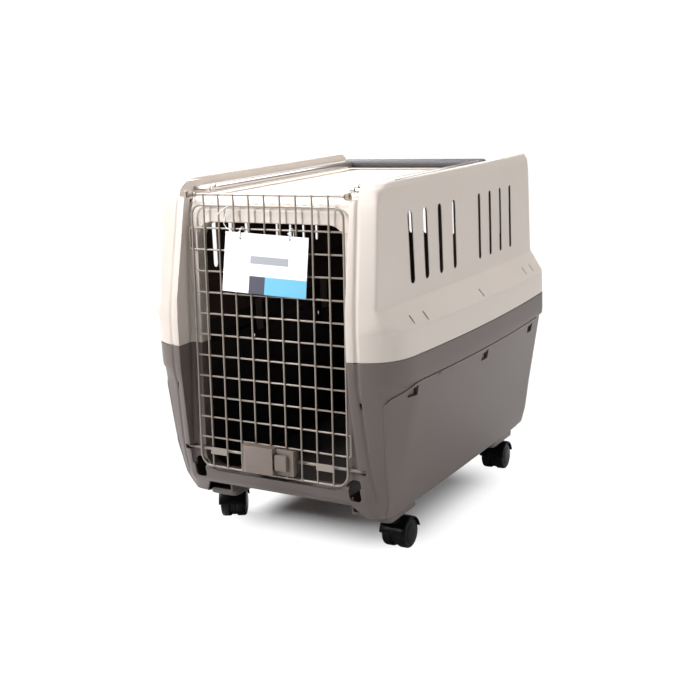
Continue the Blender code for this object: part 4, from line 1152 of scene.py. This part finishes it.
def build_tie(word, x):
    """Clear loop with a small knot in front."""
    shape = bmesh.new()
    turns = [2 * math.pi * k / 26 for k in range(26)]
    loop = [
        on_door(x + 0.0006 * math.sin(turn), 0.0020 + 0.0064 * math.cos(turn),
                0.0583 - 0.0088 * math.sin(turn))
        for turn in turns
    ]
    add_tube(shape, loop, 0.00085, 8, closed=True)
    add_tube(shape, [on_door(x - 0.0012, 0.0087, 0.0570), on_door(x + 0.0012, 0.0087, 0.0570)], 0.0014)
    if word == "left":
        add_tube(shape, [on_door(tail_x, 0.0088, down) for tail_x, down in TIE_TAIL], 0.00075, 8)
    tie = put("tie_" + word, shape, [TIE], DOOR, angle=60)
    finish(tie, "door", "black_plastic", "card_tie_" + word)


build_grille()
build_hinge()
build_latch_rod("left", -1, "rod_left", rack=(-0.0430, -0.0090), teeth=(-0.0300, -0.0105))
build_latch_rod("right", 1, "latch_thumb", rack=(-0.0195, 0.0400), teeth=(-0.0190, 0.0015))
build_card()
for word, x in TIE_X:
    build_tie(word, x)


# ------------------------------------------------------------------- handle
def build_handle_arm(word, x):
    """Tube along the crate, and the flattened eye that turns on its pin."""
    stations = (
        (PIVOT_Y + 0.0105, 0.0050), (PIVOT_Y + 0.0112, 0.0057), (PIVOT_Y + 0.0125, 0.0060),
        (-0.1, 0.0060), (0.05, 0.0060), (GRIP_Y + 0.0024, 0.0060),
    )
    path, radii = [(x, y, TUBE_Z) for y, _ in stations], [radius for _, radius in stations]
    tube = put("bail_tube_" + word, add_tube(bmesh.new(), path, radii, 28), [ALU], angle=40)
    finish(tube, "handle", "aluminium_tube", "handle_tube_" + word)
    outline = arc(PIVOT_Y, TUBE_Z, 0.0062, 46, 314, 22)
    outline += [(PIVOT_Y + 0.0104, TUBE_Z - 0.0044), (PIVOT_Y + 0.0104, TUBE_Z + 0.0044)]
    eye = put("bail_eye_" + word, prism(outline, "X", x - 0.0030, x + 0.0030), [ALU], angle=30)
    cut(eye, prism(disc(PIVOT_Y, TUBE_Z, 0.00316), "X", x - 0.01, x + 0.01))
    soften(eye, width=0.0006, segments=2, degrees=40)
    finish(eye, "handle", "aluminium_tube", "handle_eye_" + word)


def build_grip():
    # half of the grip: (distance from its middle, radius)
    half = ((0.1472, 0.0040), (0.1474, 0.0056), (0.1466, 0.0072),
            (0.1452, 0.0081), (0.1430, 0.0083), (0.05, 0.0083))
    profile = [(-along, radius) for along, radius in half] + list(reversed(half))
    shape = spin(profile, 32, (0, GRIP_Y, TUBE_Z), (1, 0, 0))
    finish(put("bail_grip", shape, [GRIP], angle=50), "handle", "grey_grip", "handle_grip")


for word, side in SIDES:
    build_handle_arm(word, side * TUBE_X)
build_grip()

# ------------------------------------------------------------------ casters
# wheel, from its inner to its outer face: (distance from the caster's middle, radius)
WHEEL = (
    (0.0052, 0.0210), (0.0053, 0.0232), (0.0060, 0.0245), (0.0074, 0.0250), (0.0120, 0.0250),
    (0.0172, 0.0250), (0.0190, 0.0247), (0.0205, 0.0239), (0.0213, 0.0226), (0.0218, 0.0205),
    (0.0215, 0.0195), (0.0216, 0.0186), (0.0226, 0.0170), (0.0232, 0.0135), (0.0236, 0.0090),
    (0.0238, 0.0045), (0.0238, 0.0010),
)
# hood's section: (x, distance from the axle)
HOOD = (
    (-0.0240, 0.0262), (-0.0240, 0.0270), (-0.0232, 0.0280), (-0.0212, 0.0286), (-0.0150, 0.0288),
    (0.0, 0.0289), (0.0150, 0.0288), (0.0212, 0.0286), (0.0232, 0.0280), (0.0240, 0.0270),
    (0.0240, 0.0262), (0.0150, 0.0261), (0.0, 0.0261), (-0.0150, 0.0261),
)


def build_caster(tag, x, y, heading):
    turned = Matrix.Rotation(math.radians(heading), 4, "Z")
    place = Matrix.Translation((x, y + ORIGIN_Y, 0)) @ turned
    for word, side in SIDES:
        profile = [(side * along, radius) for along, radius in WHEEL]
        shape = spin(profile, 48, (0, TRAIL, WHEEL_R), (1, 0, 0))
        tyre = put(f"{tag}_tyre_{word}", shape, [BLACK], place, angle=40)
        wheel = f"{tag}_wheel_{word}"
        finish(tyre, wheel, "black_plastic", wheel)
    # the hood arches over the wheels, with a web and a hub between them
    angles = [math.radians(10 + 160 * k / 28) for k in range(29)]
    shape = loft([
        [(across, TRAIL + radius * math.cos(angle), WHEEL_R + radius * math.sin(angle))
         for across, radius in HOOD]
        for angle in angles
    ])
    web = arc(TRAIL, WHEEL_R, 0.0268, 18, 162, 10)
    web += [(TRAIL + along, WHEEL_R + height) for along, height in (
        (-0.014, -0.006), (-0.008, -0.011), (0.008, -0.011), (0.014, -0.006))]
    add_prism(shape, web, "X", -0.0042, 0.0042)
    add_prism(shape, disc(TRAIL, WHEEL_R, 0.0228), "X", -0.0046, 0.0046)
    # collar and stem
    for low, high, radius in ((0.0500, 0.0602, 0.0095), (0.0560, 0.0856, 0.0035)):
        add_tube(shape, [(0, 0, z) for z in (low, (low + high) / 2, high)], radius, 24)
    hood = put(tag + "_hood", shape, [BLACK], place, angle=40)
    finish(hood, tag, "black_plastic", tag + "_body")


for name, x, y, heading in CASTERS:
    build_caster("caster_" + name, x, y, heading)


# -------------------------------------------------------------- latch cover
def latch_box(x_low, x_high, out_low, out_high, above, below):
    """Box on the door, reaching above and below the latch's line."""
    limits = door_box(x_low, x_high, out_low, out_high, LATCH_DOWN - above, LATCH_DOWN + below)
    return box(*limits)


def latch_loft(profile, downs):
    return loft([[on_door(x, outwards, down) for x, outwards in profile] for down in downs])


def build_latch_cover():
    cover = put("latch_housing", latch_box(-0.0490, 0.0135, 0.0035, 0.0190, 0.0220, 0.0220), [LATCH], DOOR)
    join(cover, latch_box(0.0030, 0.0480, 0.0035, 0.0105, 0.0200, 0.0210), matrix=DOOR)
    hollow = ((-0.0472, 0.0), (0.0032, 0.0), (0.0032, 0.0172), (-0.0378, 0.0172), (-0.0472, 0.0110))
    cut(cover, latch_loft(hollow, (LATCH_DOWN - 0.0202, LATCH_DOWN + 0.0202)), matrix=DOOR)
    # hollow of the low part, window in the high part's right wall, and slot
    for limits in (
        (0.0020, 0.0460, 0.0, 0.0087, 0.0182, 0.0192),
        (-0.0050, 0.0240, 0.0098, 0.0172, 0.0132, 0.0132),
        (0.0011, 0.0300, 0.0010, 0.0117, 0.0045, 0.0045),
    ):
        cut(cover, latch_box(*limits), matrix=DOOR)
    # slope down to the left edge
    slope = ((-0.052, 0.0215), (-0.0385, 0.0195), (-0.052, 0.0105))
    cut(cover, latch_loft(slope, (LATCH_DOWN + 0.03, LATCH_DOWN - 0.03)), matrix=DOOR)
    soften(cover, width=0.0016, segments=4, degrees=30)
    finish(cover, "door", "taupe_latch", "latch_cover")


def build_thumb():
    block = latch_box(0.0160, 0.0375, 0.0110, 0.0167, 0.0125, 0.0125)
    thumb = put("latch_thumb_block", block, [LATCH], DOOR)
    join(thumb, latch_box(0.0145, 0.0225, -0.0030, 0.0130, 0.0040, 0.0040), matrix=DOOR)
    soften(thumb, width=0.0013, segments=4, degrees=30)
    finish(thumb, "latch_thumb", "taupe_latch", "latch_slider")


build_latch_cover()
build_thumb()

# --------------------------------------------- small pieces kept from the CAD
# start of the name: (material, bevel width); the first match counts
KEPT = {
    "side_clip": (TAUPE, 0.0006), "hinge_bush": (TAN, 0.0008), "handle_pin": (STEEL, 0.0004),
    "latch_cover": (LATCH, 0.0011), "latch_back_plate": (LATCH, 0.0006),
    "latch_screw": (STEEL, 0.0003), "latch_pinion_pin": (STEEL, 0.0002),
    "latch_pinion": (BLACK, 0.0), "latch_slider": (LATCH, 0.0010), "latch_spring": (STEEL, 0.0),
    "rod_guide": (WIRE, 0.0004), "caster_": (BLACK, 0.0004),
}


def dress_cad_piece(name, obj):
    mat, width = next((look for key, look in KEPT.items() if name.startswith(key)), (STEEL, 0.0))
    mesh = obj.data
    mesh.materials.clear()
    mesh.materials.append(STEEL if name.endswith("_axle") else mat)
    for face in mesh.polygons:
        face.material_index = 0
    if "custom_normal" in mesh.attributes:
        mesh.attributes.remove(mesh.attributes["custom_normal"])
    obj.modifiers.new("weld", "WELD").merge_threshold = 0.00001
    if width:
        soften(obj, width, segments=3, degrees=40).use_clamp_overlap = True


hidden = set()
for obj in bpy.data.objects:
    hidden |= set(obj.get("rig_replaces", ()))
for name, obj in frame["nodes"].items():
    if name in hidden:
        obj.data.materials.clear()
        obj.data.materials.append(STEEL)
    else:
        dress_cad_piece(name, obj)
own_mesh(frame["nodes"]["latch_spring"])


# ----------------------------------------------------------------- the stage
def build_floor():
    """Paper floor that blows out to white a hand's breadth beyond a patch under the crate; beyond the patch
    it glows white to the camera alone, painted light that hides shade there.
    """
    shape, reach = bmesh.new(), 14
    verts = [shape.verts.new((x, y, 0)) for y in (-reach, reach) for x in (-reach, reach)]
    shape.faces.new([verts[i] for i in (0, 1, 3, 2)])
    paper = surface("studio_floor", colour=(0.74, 0.74, 0.75), rough=0.6,
                    grain=30.0, bump=0.0, edge=0.0, spread=0.004)
    ground = put("floor", shape, [paper], Matrix.Identity(4))
    tree = paper.node_tree
    spot = tree.nodes.new("ShaderNodeTexCoord").outputs["Object"]
    patch_middle, patch_half, zero = (0.0, 0.0, 0.0), (0.090, 0.110, 0.0), (0.0, 0.0, 0.0)
    for operation, *operand in (
        ("SUBTRACT", patch_middle), ("ABSOLUTE",), ("SUBTRACT", patch_half), ("MAXIMUM", zero),
    ):
        spot = math_node(tree, operation, spot, *operand, kind="ShaderNodeVectorMath")
    fade = add_node(tree, "ShaderNodeMapRange", interpolation_type="SMOOTHSTEP",
                    From_Min=0.0, From_Max=0.14)
    distance = math_node(tree, "LENGTH", spot, kind="ShaderNodeVectorMath")
    tree.links.new(distance, fade.inputs["Value"])
    seen = tree.nodes.new("ShaderNodeLightPath").outputs["Is Camera Ray"]
    share = math_node(tree, "MULTIPLY", fade.outputs["Result"], seen)
    # painted light: a glow seen only by the camera, so the lamps' shade shows only within the patch
    glow = add_node(tree, "ShaderNodeEmission", Strength=1.05)
    blend = add_node(tree, "ShaderNodeMixShader", Fac=share)
    tree.links.new(tree.nodes["Principled BSDF"].outputs["BSDF"], blend.inputs[1])
    tree.links.new(glow.outputs["Emission"], blend.inputs[2])
    tree.links.new(blend.outputs["Shader"], tree.nodes["Material Output"].inputs["Surface"])


def build_world():
    """White to the camera; as a light, dimmer on the camera's side than behind the crate."""
    world = bpy.data.worlds.new("studio")
    bpy.context.scene.world = world
    world.use_nodes = True
    tree = world.node_tree
    seen = tree.nodes.new("ShaderNodeLightPath").outputs["Is Camera Ray"]
    coords = tree.nodes.new("ShaderNodeTexCoord")
    towards = add_node(tree, "ShaderNodeVectorMath", operation="DOT_PRODUCT")
    tree.links.new(coords.outputs["Generated"], towards.inputs[0])
    towards.inputs[1].default_value = (0.51, -0.86, 0.0)    # to the camera
    shade = add_node(
        tree, "ShaderNodeMapRange", interpolation_type="SMOOTHSTEP",
        Value=towards.outputs["Value"], From_Min=-0.7, From_Max=0.95, To_Min=0.07, To_Max=0.01,
    )
    both = add_node(tree, "ShaderNodeMix", data_type="FLOAT",
                    Factor=seen, A=shade.outputs["Result"], B=1.05)
    back = tree.nodes["Background"]
    tree.links.new(both.outputs["Result"], back.inputs["Strength"])
    back.inputs["Color"].default_value = (1, 1, 1, 1)


def add_light(name, kind, place, aim, **settings):
    data = bpy.data.lights.new(name, kind)
    for key, value in settings.items():
        setattr(data, key, value)
    obj = bpy.data.objects.new(name, data)
    bpy.context.scene.collection.objects.link(obj)
    obj.location = place
    obj.rotation_euler = (Vector(aim) - Vector(place)).to_track_quat("-Z", "Y").to_euler()


def add_lamp(name, place, aim, size, energy):
    add_light(name, "AREA", place, aim, shape="SQUARE", size=size, energy=energy)


def add_camera():
    data = bpy.data.cameras.new("camera")
    data.lens, data.sensor_width, data.sensor_fit = 58.03, 36.0, "HORIZONTAL"
    camera = bpy.data.objects.new("camera", data)
    bpy.context.scene.collection.objects.link(camera)
    right = (0.86075, 0.50693, -0.04622)
    up = (-0.08048, 0.22519, 0.97098)
    away = (0.50263, -0.83205, 0.23463)
    turned = Matrix((right, up, away)).transposed().to_4x4()
    camera.matrix_world = Matrix.Translation((1.0, -1.705 + ORIGIN_Y, 0.752)) @ turned
    bpy.context.scene.camera = camera


build_floor()
build_world()
add_lamp("front", place=(-1.4, -1.5, 2.6), aim=(0, 0, 0.35), size=1.2, energy=88)
add_light("upper_front", "SPOT", place=(-1.1, -2.3, 1.6), aim=(-0.06, -0.3, 0.58), energy=250,
          spot_size=math.radians(20), spot_blend=1.0, shadow_soft_size=0.25)
add_lamp("side", place=(2.8, -0.2, 1.5), aim=(0, 0, 0.25), size=1.2, energy=38)
add_lamp("back", place=(0.5, 1.6, 2.4), aim=(0, 0, 0.3), size=1.4, energy=48)
add_lamp("top", place=(-1.6, 0.6, 2.2), aim=(-0.05, 0, 0.5), size=1.2, energy=85)
add_camera()
bpy.context.scene.view_settings.view_transform = "Standard"
